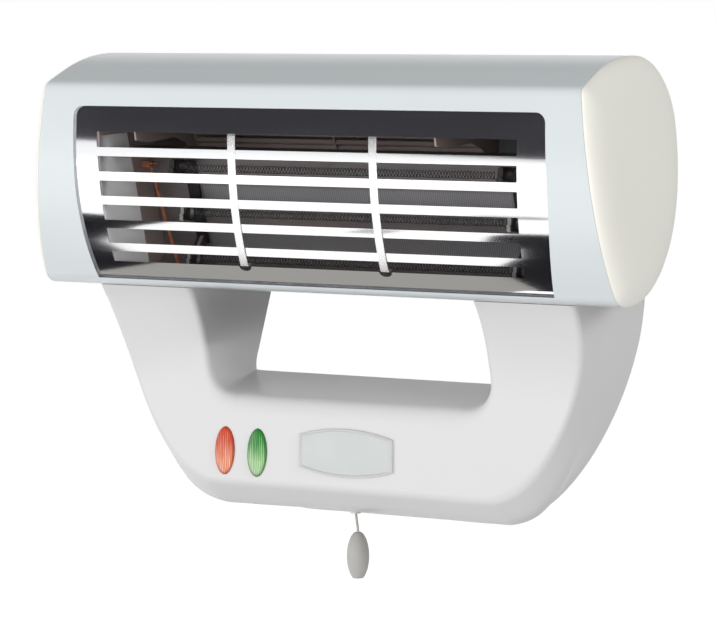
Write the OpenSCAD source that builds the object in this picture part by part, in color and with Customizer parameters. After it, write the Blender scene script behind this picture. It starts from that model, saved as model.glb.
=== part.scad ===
// Bathroom wall heater: a wide head with three quartz tubes behind a chrome grille, carried by a
// U-shaped housing that holds the switch, the pilot lamps and the wall plate.
// X runs to the viewer's right, Y into the wall and Z up. The origin is the centre of the four
// wall screws, on the wall's surface.

/* [Head] */
// Depth of the head from its front face to its back
head_d = 148; // [130:1:165]
// Height of the head from its lowest to its highest point
head_h = 177; // [160:1:195]
// Width of the head at its lowest point
head_w_bottom = 487; // [440:1:560]
// Width of the head at its highest point
head_w_top = 448; // [420:1:540]
// Height of the head's lowest point above the centre of the wall screws
head_z = 43; // [38:1:50]
// Gap between the head's back and the wall
wall_gap = 3; // [2.5:0.5:5]
// Thickness of the head's pressed shells
shell_t = 2; // [1.5:0.1:2.5]
// How far the end caps dome outwards
cap_dome = 9; // [5:0.5:14]
// How deep the end caps' spigots reach into the head
spigot_l = 7; // [4:0.5:10]

/* [Grille] */
// Width of the window in the front cover
window_w = 401; // [360:1:420]
// Height of the window's lower edge above the head's lowest point
window_low = 6; // [5:0.5:9]
// Height of the window's upper edge above the head's lowest point
window_high = 138; // [130:1:142]
// Thickness of the chrome plate
grille_t = 0.8; // [0.6:0.1:1.2]
// Width of the slotted field in the chrome plate
slots_w = 354; // [320:1:370]
// Height of a bar, measured along the curved plate
bar_h = 6.7; // [5:0.1:8]
// Distance from bar to bar, measured along the curved plate
bar_pitch = 18.6; // [17:0.1:19.5]
// Number of bars
bar_count = 5; // [3:1:5]
// Width of a vertical strap
strap_w = 7; // [4:0.5:12]
// Distance of each strap from the middle
strap_x = 60; // [30:1:110]

/* [Heating] */
// Outer diameter of a quartz tube
tube_d = 10.5; // [9:0.5:12]
// Wall of a quartz tube
tube_t = 1.2; // [0.8:0.1:1.5]
// Length of a quartz tube
tube_l = 324; // [300:2:336]
// Length of the coiled part of a heating element
coil_l = 266; // [240:2:272]
// Diameter of the coil, through the middle of its wire
coil_d = 5.4; // [4:0.1:6]
// Diameter of the coil's wire
coil_wire = 0.8; // [0.5:0.1:1.2]
// Curls in each coil
coil_curls = 30; // [12:1:30]
// Thickness of the reflector sheet
reflector_t = 0.8; // [0.6:0.1:1.2]

/* [Fan] */
// Outer diameter of the fan rotor
rotor_d = 44; // [36:1:48]
// Length of the fan rotor
rotor_l = 250; // [180:2:260]
// Number of blades
blade_count = 22; // [14:1:28]
// Diameter of the rotor's shaft
shaft_d = 5; // [4:0.5:6]
// Radial clearance of the shaft in its bearings
shaft_gap = 0.05; // [0.02:0.01:0.1]

/* [Housing] */
// Wall of the moulded U-shaped housing
body_t = 2.5; // [2:0.1:3]
// Distance of the housing's flat front face from the wall
face_d = 83; // [76:1:90]
// How far in front of the head's lower seam the legs' front faces meet the head
leg_lead = 2.3; // [0:0.1:5]
// Depth of the housing's lowest edge below the centre of the wall screws
body_low = 137; // [132:1:145]
// How much higher the lower edge of the front face lies
bottom_rise = 29; // [20:1:32]
// Depth of the opening's rear lower edge below the centre of the wall screws
ledge_low = 30; // [24:1:36]
// How much lower the ledge lies at the front
ledge_drop = 11; // [6:1:16]
// Outer half width of the legs under the head
leg_x = 205; // [196:1:214]
// Half width of the opening between the legs
opening_x = 121; // [100:1:126]
// Height to which the legs rise behind the head
leg_top = 124; // [104:1:134]

/* [Wall plate] */
// Thickness of the steel wall plate
plate_t = 1.5; // [1:0.1:2]
// Distance between the wall screws across
wall_screws_x = 290; // [280:1:296]
// Distance between the wall screws upwards
wall_screws_z = 150; // [140:1:156]
// Diameter of the wall screw holes
wall_hole_d = 5.5; // [4:0.1:7]

/* [Lamps and name plate] */
// Width of an indicator lens
lens_w = 17; // [14:0.5:20]
// Height of an indicator lens
lens_h = 37; // [30:0.5:38]
// Distance of the red lens from the middle
lens_red_x = 107.5; // [104:0.5:112]
// Distance of the green lens from the middle
lens_green_x = 78.5; // [74:0.5:82]
// Height of the lenses' centres below the centre of the wall screws
lens_low = 83.5; // [82:0.5:85]
// Width of the name plate
name_w = 81; // [60:1:90]
// Height of the name plate at its middle
name_h = 37; // [28:1:40]
// Height of the name plate at its ends
name_end_h = 25; // [20:1:30]

/* [Pull cord] */
// Distance of the cord from the middle
cord_x = 26; // [20:1:32]
// Distance of the cord from the wall
cord_y = 24; // [22:1:28]
// Diameter of the cord
cord_d = 2; // [1.5:0.1:2.5]
// How far the cord moves when it is pulled
pull_travel = 10; // [6:0.5:10]
// Largest diameter of the pull
pull_d = 17.5; // [14:0.5:20]
// Length of the pull
pull_l = 36; // [30:1:40]

/* [Hidden] */
$fn = 48;

// Colours
cool_white = [0.86, 0.89, 0.89];
warm_white = [0.93, 0.92, 0.88];
cream = [0.93, 0.92, 0.86];
chrome = [0.82, 0.83, 0.85];
steel = [0.62, 0.63, 0.65];
dark_steel = [0.3, 0.3, 0.31];
copper = [0.8, 0.42, 0.25];
quartz = [0.85, 0.87, 0.9];
black = [0.12, 0.12, 0.13];
ivory = [0.9, 0.87, 0.78];

// ---- Points and curves ----
function unit(v) = v / norm(v);
function bezier(p, n) = [for (i = [0:n - 1]) let (t = i / n) pow(1 - t, 3) * p[0]
    + 3 * pow(1 - t, 2) * t * p[1] + 3 * (1 - t) * t * t * p[2] + pow(t, 3) * p[3]];
function slice(p, a, b) = [for (i = [a:b]) p[i % len(p)]];
function reverse(p) = [for (i = [len(p) - 1:-1:0]) p[i]];
function left_of(v) = [-v[1], v[0]];
// A closed anticlockwise outline moved inwards by d
function inset(p, d) = [for (i = [0:len(p) - 1])
    let (a = p[(i + len(p) - 1) % len(p)], b = p[(i + 1) % len(p)],
        m = left_of(unit(p[i] - a)), n = left_of(unit(b - p[i])))
    p[i] + d * (m + n) / (1 + m * n)];
// The strip between two depths under a stretch of a closed outline
function strip(p, a, b, d1, d2) = concat(slice(inset(p, d1), a, b), reverse(slice(inset(p, d2), a, b)));

module along_x(length) {
    rotate([90, 0, 90]) linear_extrude(length, center = true) children();
}

module along_y(near, far) {
    translate([0, far, 0]) rotate([90, 0, 0]) linear_extrude(far - near) children();
}

module mirrored() {
    children();
    mirror([1, 0, 0]) children();
}

// A closed solid through rings of equal length, from one centre point to another
module ring_solid(start, rings, end) {
    n = len(rings[0]);
    last = len(rings) * n + 1;
    points = concat([start], [for (r = rings) each r], [end]);
    first_fan = [for (i = [0:n - 1]) [0, 1 + i, 1 + (i + 1) % n]];
    sides = [for (k = [0:len(rings) - 2], i = [0:n - 1])
        let (a = 1 + k * n + i, b = 1 + k * n + (i + 1) % n)
        each [[a, a + n, b], [b, a + n, b + n]]];
    last_fan = [for (i = [0:n - 1]) [last, last - n + (i + 1) % n, last - n + i]];
    polyhedron(points, concat(first_fan, sides, last_fan));
}

// A round tube along points; across is a direction that the route never follows
module swept_tube(route, diameter, sides, across) {
    n = len(route);
    rings = [for (i = [0:n - 1])
        let (along = unit(route[min(i + 1, n - 1)] - route[max(i - 1, 0)]),
            e = unit(cross(along, across)), f = cross(along, e))
        [for (k = [0:sides - 1]) let (a = 360 * k / sides)
            route[i] + diameter / 2 * (e * cos(a) + f * sin(a))]];
    ring_solid(route[0], rings, route[n - 1]);
}

// ---- Cross-section of the head ----
// Drawn as distance from the front face and height above the lowest point, for a head 148 deep and 177 high
section_d = 148;
section_h = 177;
top_seam = [93, 177];
crease = [24, 163.3];
brow = [10, 157.3];
cheek = [2.4, 147];
chin = [24, 10];
low_seam = [42, 0];
rear_point = [148, 126];
top_curve = bezier([top_seam, [66, 177], [44, 172], crease], 5);
brow_curve = bezier([brow, [4.5, 155], [2.6, 152.5], cheek], 3);
front_curve = bezier([cheek, [-1, 115], [-1, 58], chin], 9);
nose_curve = bezier([chin, [27.2, 3.8], [33, 0], low_seam], 4);
rear_low_curve = bezier([low_seam, [90, -2], [148, 46], rear_point], 7);
rear_top_curve = bezier([rear_point, [149, 152], [128, 177], top_seam], 6);
section_drawn = concat(top_curve, [crease], brow_curve, front_curve, nose_curve, rear_low_curve,
    rear_top_curve);
section = [for (p = section_drawn) [p[0] * head_d / section_d - head_d - wall_gap,
    p[1] * head_h / section_h + head_z]];
front_start = len(top_curve) + 1 + len(brow_curve);
low_index = front_start + len(front_curve) + len(nose_curve);
section_n = len(section);
section_middle = [-head_d * 0.52 - wall_gap, head_z + head_h * 0.52];
function head_half_w(z) = (head_w_bottom + (head_w_top - head_w_bottom) * (z - head_z) / head_h) / 2;

// Everything between the two slanting ends of the head
module between_ends(back_off) {
    intersection() {
        children();
        along_y(-head_d - wall_gap - 20, 20) polygon([for (s = [-1, 1], k = [0, 1])
            let (z = head_z + (s * (k * 2 - 1) * 0.7 + 0.5) * head_h)
            [s * (head_half_w(z) - back_off), z]]);
    }
}

// ---- Window, bars and straps ----
plate_lap = 5;
function window(grow) = let (half = window_w / 2 + grow, low = head_z + window_low - grow,
    high = head_z + window_high + grow, r = 8, side_z = head_z + window_high * 0.55)
    concat([[half - 5.5, low], [half - 1.8, (low + side_z) / 2], [half, side_z]],
        [for (a = [0:18:90]) [half - r - 0.6 + r * cos(a), high - r + r * sin(a)]],
        [for (a = [90:18:180]) [-half + r + 0.6 + r * cos(a), high - r + r * sin(a)]],
        [[-half, side_z], [-half + 1.8, (low + side_z) / 2], [-half + 5.5, low]]);
face_y = -head_d - wall_gap;
window_back = face_y + 34;
// Heights along the curved plate: length from the top edge of the slots against height
plate_line = slice(inset(section, shell_t), front_start, front_start + len(front_curve) + 1);
slots_top = head_z + 118.7 * head_h / section_h;
plate_lengths = [for (i = 0, s = 0; i < len(plate_line);
    s = s + (i < len(plate_line) - 1 ? norm(plate_line[i + 1] - plate_line[i]) : 0), i = i + 1)
    [s, plate_line[i][1]]];
plate_heights = [for (p = reverse(plate_lengths)) [p[1], p[0]]];
function plate_z(s) = lookup(lookup(slots_top, plate_heights) + s, plate_lengths);
last_gap = 8.6;
slot_h = bar_pitch - bar_h;
slots_low = plate_z(bar_count * bar_pitch + last_gap);

module plate_stretch(d1, d2) {
    along_x(head_w_bottom) polygon(strip(section, front_start - 2, low_index, d1, d2));
}

module slot(k) {
    top = plate_z(k * bar_pitch);
    low = k < bar_count ? plate_z(k * bar_pitch + slot_h) : slots_low;
    function half(z) = slots_w / 2 - 3 * (slots_top - z) / (slots_top - slots_low);
    polygon([[-half(low), low], [half(low), low], [half(top), top], [-half(top), top]]);
}

module strap(side) {
    hook = 5;
    color(chrome) union() {
        intersection() {
            plate_stretch(shell_t - grille_t, shell_t);
            along_y(face_y - 5, window_back) translate([side * strap_x - strap_w / 2, slots_low - 2])
                square([strap_w, slots_top - slots_low + 5]);
        }
        for (end = [0, 1]) {
            z = end == 0 ? slots_low - 2 : slots_top + 3 - grille_t;
            intersection() {
                plate_stretch(shell_t - grille_t, shell_t + hook);
                along_y(face_y - 5, window_back) translate([side * strap_x - strap_w / 2, z])
                    square([strap_w, grille_t]);
            }
        }
    }
}

// ---- Inside the head ----
// A place given as in the drawn cross-section
function in_head(p) = [p[0] * head_d / section_d + face_y, p[1] * head_h / section_h + head_z];
function all_in_head(ps) = [for (p = ps) in_head(p)];
// The line that runs beside an open line, to its left, and a sheet between the two
function beside(p, t) = let (n = len(p)) [for (i = [0:n - 1])
    let (a = left_of(unit(p[max(i, 1)] - p[max(i, 1) - 1])),
        b = left_of(unit(p[min(i + 1, n - 1)] - p[min(i + 1, n - 1) - 1])))
    p[i] + t * (a + b) / (1 + a * b)];
function sheet(p, t) = concat(p, reverse(beside(p, t)));

tube_axes = all_in_head([[55.5, 90.2], [69.6, 55.2], [78.6, 20]]);
trough_top = all_in_head([[15, 102.5]]);
trough_bend = all_in_head(bezier([[55, 105.5], [65, 106.5], [70.4, 103.5], [71.7, 97]], 5));
trough_heel = all_in_head(bezier([[93, 30], [95.5, 21], [89, 15.8], [79, 13]], 5));
trough_front = all_in_head([[79, 13], [61, 6.5], [43, 4.2], [31, 8]]);
trough_line = concat(trough_top, trough_bend, all_in_head([[71.7, 97]]), trough_heel, trough_front);
trough_fall = unit(in_head([93, 30]) - in_head([73, 93]));
trough_out = left_of(trough_fall);
trough_half = tube_l / 2 + 16;
tube_end = -tube_l / 2;
strip_t = 0.8;
bulkhead_x = trough_half + strip_t;
bulkhead_t = 1.2;
clamp_x = tube_l / 2 - 21;
clamp_w = 8;
clamp_wall = 1.2;
support_w = 10;
support_t = 2;
support_gap = 0.1;
function depth_behind(i) = (in_head([73, 93]) - tube_axes[i]) * trough_out - support_gap;
axis_turn = atan2(trough_out[1], trough_out[0]);
fan_axis = in_head([107, 122]);
fan_left = -147;
fan_right = fan_left + rotor_l;
side_gap = 3;
end_plate_t = 1.5;
motor_x = fan_right + side_gap + end_plate_t + 19;
core_t = 18;
core_gap = 0.4;
motor_rotor_d = 24;
head_screw_x = 90;
head_screw_z = head_z + rear_point[1] * head_h / section_h;
head_screw_d = 4;
wire_hole_x = 165;
wire_hole_d = 18;

module at_axis(p) {
    translate([0, p[0], p[1]]) children();
}

module rod_x(from, to, diameter) {
    translate([from, 0, 0]) rotate([0, 90, 0]) cylinder(d = diameter, h = to - from);
}

module rod_y(near, far, diameter) {
    translate([0, far, 0]) rotate([90, 0, 0]) cylinder(d = diameter, h = far - near);
}

module sheet_x(line, t, from, to) {
    translate([(from + to) / 2, 0, 0]) along_x(to - from) polygon(sheet(line, t));
}

module head_cover() {
    color(cool_white) difference() {
        between_ends(0) along_x(head_w_bottom + 10) polygon(strip(section, 0, low_index, 0, shell_t));
        along_y(face_y - 10, window_back) polygon(window(0));
    }
}

module head_back() {
    vent_w = 32;
    vent_h = 4;
    color(cool_white) difference() {
        between_ends(0) along_x(head_w_bottom + 10)
            polygon(strip(section, low_index, section_n, 0, shell_t));
        for (x = [-60, -20, 20, 60], k = [0:5])
            along_y(face_y + head_d * 0.7, 1) translate([x - vent_w / 2, in_head([0, 50 + k * 9])[1]])
                square([vent_w, vent_h]);
        for (x = [-head_screw_x, head_screw_x]) translate([x, 0, head_screw_z])
            rod_y(-20, 0, head_screw_d + 0.4);
        for (x = [-wire_hole_x, wire_hole_x]) translate([x, in_head([100, 0])[0], head_z - 5])
            cylinder(d = wire_hole_d, h = 40);
    }
}

// Rings of the end cap: scale about the middle of the section, distance inwards, height outwards
module end_cap() {
    lip = 2.4;
    inner = shell_t + lip;
    function ring(s, d, h) = [for (p = inset(section, d)) let (q = section_middle + s * (p - section_middle))
        [head_half_w(q[1]) + h, q[0], q[1]]];
    function dome(s) = cap_dome * sqrt(1 - pow(s, 6));
    rings = concat([ring(0.5, inner, cap_dome - 3), ring(0.85, inner, cap_dome - 4.2),
        ring(1, inner, 1.5), ring(1, inner, -spigot_l), ring(1, shell_t + 0.05, -spigot_l),
        ring(1, shell_t + 0.05, 0),
        ring(1, 0, 0)], [for (s = [0.993, 0.975, 0.94, 0.87, 0.72, 0.45]) ring(s, 0, dome(s))]);
    x = head_half_w(section_middle[1]);
    color(cream) ring_solid([x + cap_dome - 2.8, section_middle[0], section_middle[1]], rings,
        [x + cap_dome, section_middle[0], section_middle[1]]);
}

module end_cap_left() { mirror([1, 0, 0]) end_cap(); }
module end_cap_right() { end_cap(); }

module grille() {
    notch_w = strap_w + 2;
    color(chrome) difference() {
        intersection() {
            plate_stretch(shell_t, shell_t + grille_t);
            along_y(face_y - 5, window_back) polygon(window(plate_lap));
        }
        for (k = [0:bar_count]) along_y(face_y - 5, window_back) slot(k);
        for (side = [-1, 1], z = [slots_low - 2 + grille_t / 2, slots_top + 3 - grille_t / 2])
            along_y(face_y - 5, window_back) translate([side * strap_x, z])
                square([notch_w, 3.2], center = true);
    }
}

module grille_strap_left() { strap(-1); }
module grille_strap_right() { strap(1); }

module side_strip() {
    rear_top = in_head([43, 117]);
    rear_low = in_head([65, 14]);
    front = [for (p = inset(section, shell_t + grille_t + 0.3)) if (p[0] < in_head([31, 0])[0]
        && p[1] > rear_low[1] && p[1] < rear_top[1]) p];
    color(chrome) translate([trough_half + strip_t / 2, 0, 0]) along_x(strip_t)
        polygon(concat([rear_top], front, [rear_low]));
}

module side_strip_left() { mirror([1, 0, 0]) side_strip(); }
module side_strip_right() { side_strip(); }

module trough_reflector() {
    color(chrome) sheet_x(trough_line, reflector_t, -trough_half, trough_half);
}

module reflector_end() {
    color(steel) difference() {
        translate([bulkhead_x + bulkhead_t / 2, 0, 0]) along_x(bulkhead_t)
            polygon(inset(section, shell_t));
        plate_stretch(shell_t - 1, shell_t + grille_t);
        at_axis(in_head([112, 60])) rod_x(bulkhead_x - 1, bulkhead_x + bulkhead_t + 1, 16);
    }
}

module reflector_end_left() { mirror([1, 0, 0]) reflector_end(); }
module reflector_end_right() { reflector_end(); }

module tube_support() {
    high = tube_axes[0] + trough_out * depth_behind(0);
    line = [in_head([93, 30]) - trough_fall - trough_out * support_gap, high + trough_fall * 0.5];
    color(dark_steel) sheet_x(line, support_t, clamp_x - support_w / 2, clamp_x + support_w / 2);
}

module tube_support_left() { mirror([1, 0, 0]) tube_support(); }
module tube_support_right() { tube_support(); }

module quartz_tube(i) {
    color(quartz, 0.5) at_axis(tube_axes[i]) difference() {
        rod_x(-tube_l / 2, tube_l / 2, tube_d);
        rod_x(-tube_l / 2 - 1, tube_l / 2 + 1, tube_d - 2 * tube_t);
    }
}

module quartz_tube_top() { quartz_tube(0); }
module quartz_tube_middle() { quartz_tube(1); }
module quartz_tube_bottom() { quartz_tube(2); }

// One unbroken wire: straight ends along the axis and curls between them
coil_rings = 8;
coil_sides = 6;
coil_steps = coil_curls * coil_rings;
function coil_point(t) = [(t - 0.5) * coil_l, coil_d / 2 * cos(360 * coil_curls * t),
    coil_d / 2 * sin(360 * coil_curls * t)];
coil_body = [for (k = [0:coil_steps]) coil_point(k / coil_steps)];
coil_lead = [coil_wire, 0, 0];
coil_route = concat([coil_body[0] - coil_lead * 2, coil_body[0] - coil_lead], coil_body,
    [coil_body[coil_steps] + coil_lead, coil_body[coil_steps] + coil_lead * 2]);
coil_gap = min([for (k = [coil_rings:coil_steps], m = [k - coil_rings - 2:k - coil_rings + 2])
    if (m >= 0) norm(coil_body[k] - coil_body[m])]) - coil_wire;
echo(str("least gap between the curls of a coil: ", coil_gap, " mm"));

module heating_coil(i) {
    color(steel) at_axis(tube_axes[i]) swept_tube(coil_route, coil_wire, coil_sides, [0.05, 0.6, 0.8]);
}

module heating_coil_top() { heating_coil(0); }
module heating_coil_middle() { heating_coil(1); }
module heating_coil_bottom() { heating_coil(2); }

// A sprung collar round the tube, a foot to the support behind and a pad for the screw in front.
// The feet rise or fall on their way back, so that all land on the straight part of the support.
foot_rise = [-3, 0, 10];
pad_drop = 3;
pad_reach = 2.4;
clamp_screw_d = 2.8;
module tube_clamp(i) {
    bore = tube_d + 0.1;
    outer = bore + 2 * clamp_wall;
    foot_t = 5;
    tag = [4, 1, 9];
    function foot(reach, rise) = [[0, -foot_t / 2], [reach, rise - foot_t / 2], [reach, rise + foot_t / 2],
        [0, foot_t / 2]];
    at_axis(tube_axes[i]) difference() {
        union() {
            rod_x(clamp_x - clamp_w / 2, clamp_x + clamp_w / 2, outer);
            rotate([axis_turn, 0, 0]) translate([clamp_x, 0, 0]) along_x(clamp_w)
                polygon(foot(depth_behind(i) - support_t, foot_rise[i]));
            translate([clamp_x, 0, -pad_drop]) rod_y(-outer / 2 - pad_reach, 0, 6);
            translate([clamp_x - tag[0] / 2, -outer / 2 - pad_reach, -pad_drop]) cube(tag);
        }
        rod_x(clamp_x - clamp_w, clamp_x + clamp_w, bore);
        translate([clamp_x, 0, -pad_drop]) rod_y(-outer, 0, clamp_screw_d + 0.2);
    }
}

module tube_clamps_left() { color(steel) mirror([1, 0, 0]) for (i = [0:2]) tube_clamp(i); }
module tube_clamps_right() { color(steel) for (i = [0:2]) tube_clamp(i); }

module tube_clamp_screws() {
    seat = -tube_d / 2 - clamp_wall - 0.05 - pad_reach;
    color(steel) mirrored() for (i = [0:2]) at_axis(tube_axes[i])
        translate([clamp_x, 0, -pad_drop]) difference() {
            union() {
                rod_y(seat - 1.6, seat, 5.2);
                rod_y(seat - 0.5, seat + 3, clamp_screw_d);
            }
            translate([0, seat - 1.6, 0]) cube([3.6, 1.2, 0.8], center = true);
        }
}

wire_d = 2.5;
// Distance beyond the tubes' left ends, then the place in the drawn cross-section
wire_upper = [[-8.8, 56.8, 91.6], [-6.8, 56.8, 91.2], [-5.2, 56.8, 90.3], [-4, 56.8, 88.6], [-3, 56.4, 86]];
wire_lower = [[11.2, 68.9, 17.5], [12, 69.6, 14], [14, 71.4, 12.2], [16.4, 73.4, 12.2]];
wire_route = [for (q = concat(wire_upper, wire_lower)) let (r = in_head([q[1], q[2]]))
    [q[0] + tube_end, r[0], r[1]]];
module link_wire() {
    color(copper) swept_tube(wire_route, wire_d, 8, [0.3, 0.2, 0.05]);
}

// A plate that faces the front, with a pin and its collar going into the top tube's open end
module link_wire_tab() {
    tab = [8, 0.8, 4.7];
    pin_drop = 1.3;
    p = in_head([54.7, 89.8]);
    color(copper) translate([tube_end - 4.6, p[0], p[1]]) union() {
        translate([-tab[0], 0, 0]) cube(tab);
        translate([0, tab[1] / 2, tab[2] - pin_drop]) {
            rod_x(-1, 7.6, 1.6);
            rod_x(1.2, 3, 3.2);
        }
    }
}

// ---- Fan ----
scroll_line = concat(all_in_head([[10, 121.4], [40, 132], [96.4, 151.1]]),
    [for (a = [100:-10:20]) let (q = 31 + (110 - a) / 30) fan_axis + q * [cos(a), sin(a)]]);
scroll_t = 0.8;
blade_depth = 5;
blade_t = 0.8;
rim_t = 1.2;
shaft_near = 9;
shaft_far = 22;

module fan_rotor() {
    color(dark_steel) at_axis(fan_axis) difference() {
        union() {
            for (x = [fan_left, fan_left + (rotor_l - rim_t) / 2, fan_right - rim_t])
                rod_x(x, x + rim_t, rotor_d);
            for (x = [fan_left, fan_right - 8]) rod_x(x, x + 8, shaft_d + 7);
            translate([(fan_left + fan_right) / 2, 0, 0]) along_x(rotor_l - 0.4)
                for (k = [0:blade_count - 1]) rotate(k * 360 / blade_count) polygon(blade());
        }
        rod_x(fan_left - 1, fan_right + 1, shaft_d + 0.06);
    }
}

function blade() = let (inner = rotor_d / 2 - blade_depth, outer = rotor_d / 2 - 0.1,
    mid = (inner + outer) / 2 + 0.2) [[inner, 0], [mid, -1], [outer, 0.4], [outer, 0.4 + blade_t],
    [mid, -1 + blade_t], [inner, blade_t]];

module fan_shaft() {
    color(steel) at_axis(fan_axis) rod_x(fan_left - side_gap - shaft_near, motor_x + shaft_far, shaft_d);
}

module fan_scroll() {
    wall = all_in_head([[139, 134], [133, 110], [112, 96], [92, 98], [82, 108], [64, 113], [30, 110],
        [12, 112]]);
    color(steel) difference() {
        union() {
            sheet_x(scroll_line, scroll_t, fan_left - side_gap - end_plate_t / 2,
                fan_right + side_gap + end_plate_t / 2);
            for (x = [fan_left - side_gap - end_plate_t, fan_right + side_gap])
                translate([x + end_plate_t / 2, 0, 0]) along_x(end_plate_t)
                    polygon(concat(wall, beside(scroll_line, 2.5)));
        }
        at_axis(fan_axis) rod_x(fan_left - 10, fan_left, 10);
        at_axis(fan_axis) rod_x(fan_right, fan_right + 10, 10);
    }
}

module fan_bearing() {
    near = fan_left - side_gap - end_plate_t;
    color(black) at_axis(fan_axis) difference() {
        union() {
            rod_x(near - 6, near, 16);
            rod_x(near - 1, near + end_plate_t, 9.6);
        }
        rod_x(near - 8, near + 4, shaft_d + 2 * shaft_gap);
    }
}

module motor_core() {
    half = 18;
    window = [22, 8];
    color(steel) at_axis(fan_axis) difference() {
        translate([motor_x, 0, 0]) along_x(core_t) difference() {
            translate([-half, -half]) square([2 * half, half + 32]);
            translate([-window[0] / 2, 16]) square(window);
        }
        rod_x(motor_x - core_t, motor_x + core_t, motor_rotor_d + 2 * core_gap);
    }
}

module motor_winding() {
    gap = 0.2;
    half_w = 10.5;
    color(copper) at_axis(fan_axis) translate([motor_x, 0, 0]) difference() {
        translate([-core_t / 2 - 6, -half_w, 16.2]) cube([core_t + 12, 2 * half_w, 23.3]);
        translate([-core_t / 2 - gap, -half_w - 1, 24 - gap])
            cube([core_t + 2 * gap, 2 * half_w + 2, 8 + 2 * gap]);
    }
}

module motor_rotor() {
    color(steel) at_axis(fan_axis) difference() {
        rod_x(motor_x - core_t / 2, motor_x + core_t / 2, motor_rotor_d);
        rod_x(motor_x - core_t, motor_x + core_t, shaft_d + 0.06);
    }
}

module motor_brackets() {
    out = 7;
    bar_t = 1.5;
    pillar_y = 15;
    color(dark_steel) at_axis(fan_axis) difference() {
        union() {
            for (side = [-1, 1]) {
                x = motor_x + side * (core_t / 2 + out + bar_t / 2);
                translate([x, 0, 0]) along_x(bar_t) union() {
                    square([2 * pillar_y, 10], center = true);
                    for (y = [-pillar_y, pillar_y]) translate([y, 0]) circle(d = 10);
                }
                rod_x(x - 3, x + 3, 10);
            }
            for (y = [-pillar_y, pillar_y]) translate([0, y, 0]) {
                rod_x(fan_right + side_gap + end_plate_t + 0.1, motor_x - core_t / 2, 5);
                rod_x(motor_x + core_t / 2, motor_x + core_t / 2 + out + bar_t + 1, 5);
            }
        }
        rod_x(motor_x - core_t - 10, motor_x + core_t + 10, shaft_d + 2 * shaft_gap);
    }
}

module thermal_cutout() {
    middle = (in_head([73, 93]) + in_head([93, 30])) / 2 + trough_out * reflector_t;
    color(black) translate([40, middle[0], middle[1]]) rotate([axis_turn - 90, 0, 0]) union() {
        cylinder(d = 14, h = 6);
        translate([-12, -3, 0]) cube([24, 6, 1]);
        for (x = [-4, 4]) translate([x - 0.4, -2, 5]) cube([0.8, 4, 7]);
    }
}

// ---- Lower housing ----
// Along the U from the top of a leg to the middle of the base: corners of the front face and of the
// rear edge, outer and inner
corner_steps = 9;
corner_top = head_z - 8;
front_low = bottom_rise - body_low;
rear_out = bezier([[leg_x + 2, corner_top + 2], [leg_x - 2, -30], [leg_x - 57, 1 - body_low],
    [leg_x - 120, -body_low]], corner_steps);
front_out = bezier([[leg_x - 1, corner_top], [leg_x - 5, -35], [leg_x - 45, front_low],
    [leg_x - 111, front_low]], corner_steps);
ledge_z = -ledge_low - ledge_drop;
in_r = 24;
front_in = concat([for (k = [0:3]) [opening_x, corner_top + (ledge_z + in_r - corner_top) * k / 4]],
    [for (k = [0:4]) [opening_x - in_r + in_r * cos(k * 22.5), ledge_z + in_r - in_r * sin(k * 22.5)]]);
rear_in = concat([for (k = [0:5])
    [opening_x - 5 + 14 * k / 5, corner_top + (9 - ledge_low - corner_top) * k / 5]],
    [[opening_x + 9.4, 4 - ledge_low], [opening_x + 6, 0.4 - ledge_low], [opening_x - 6, -ledge_low]]);
leg_end = [for (x = [leg_x - 1, opening_x, leg_x + 2, opening_x - 5]) [x, leg_top]];
stations = concat([leg_end],
    [for (k = [0:corner_steps - 1]) [front_out[k], front_in[k], rear_out[k], rear_in[k]]],
    [for (x = [leg_x - 111, 45, 0]) [[x, front_low], [min(x, opening_x - in_r - 6), ledge_z],
        [min(x, leg_x - 120), -body_low], [min(x, opening_x - 26), -ledge_low]]]);
cove_start = 40;
cove_h = head_z + cove_start;
cove_d = leg_lead - section[low_index][0] - face_d;
cove_r = (cove_h * cove_h + cove_d * cove_d) / (2 * cove_d);
edge_r = 5;
function inner_edge_r(k) = k < 5 ? 6 : (k < 10 ? 6 + (k - 4) * 1.4 : 14);
function face_at(z) = let (h = min(max(z + cove_start, 0), cove_h))
    -face_d - cove_r + sqrt(cove_r * cove_r - h * h);
underside = slice(section, low_index - 2, low_index + len(rear_low_curve));
leg_gap = 0.3;
function under_head(y) = y < section[low_index][0] ? head_z - leg_gap : lookup(y, underside) - leg_gap;
side_levels = [for (k = [6:-1:1]) section[low_index + k][0]];
// A rounded corner
function rounded(before, corner, after, r, n) = let (a = corner + r * unit(before - corner),
    b = corner + r * unit(after - corner)) [for (i = [0:n - 1]) let (t = i / (n - 1))
    pow(1 - t, 2) * a + 2 * t * (1 - t) * corner + t * t * b];
// Across the channel: distance from the outer front corner against distance from the wall
function profile(st, k) = let (e = unit(st[1] - st[0]), c_s = norm(st[1] - st[0]),
    a = [(st[2] - st[0]) * e, 0], b = [0, face_at(st[0][1])], c = [c_s, face_at(st[1][1])],
    d = [(st[3] - st[0]) * e, 0], squeeze = k == 0 ? 1 : (face_d - 19) / -side_levels[5],
    mid = [for (f = [0.35, 0.65]) [c_s * f, face_at(st[0][1] + e[1] * c_s * f)]])
    concat([a], [for (y = side_levels) a + (b - a) * y * squeeze / b[1]],
        rounded(a, b, mid[0], edge_r, 4), mid, rounded(mid[1], c, d, inner_edge_r(k), 6),
        [for (y = reverse(side_levels)) d + (c - d) * y * squeeze / c[1]], [d]);
function hollow(p) = let (n = len(p)) concat([p[0] + [body_t, 0]], [for (i = [1:n - 2])
    let (a = left_of(unit(p[i] - p[i - 1])), b = left_of(unit(p[i + 1] - p[i])))
    p[i] + body_t * (a + b) / (1 + a * b)], [p[n - 1] - [body_t, 0]]);
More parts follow.
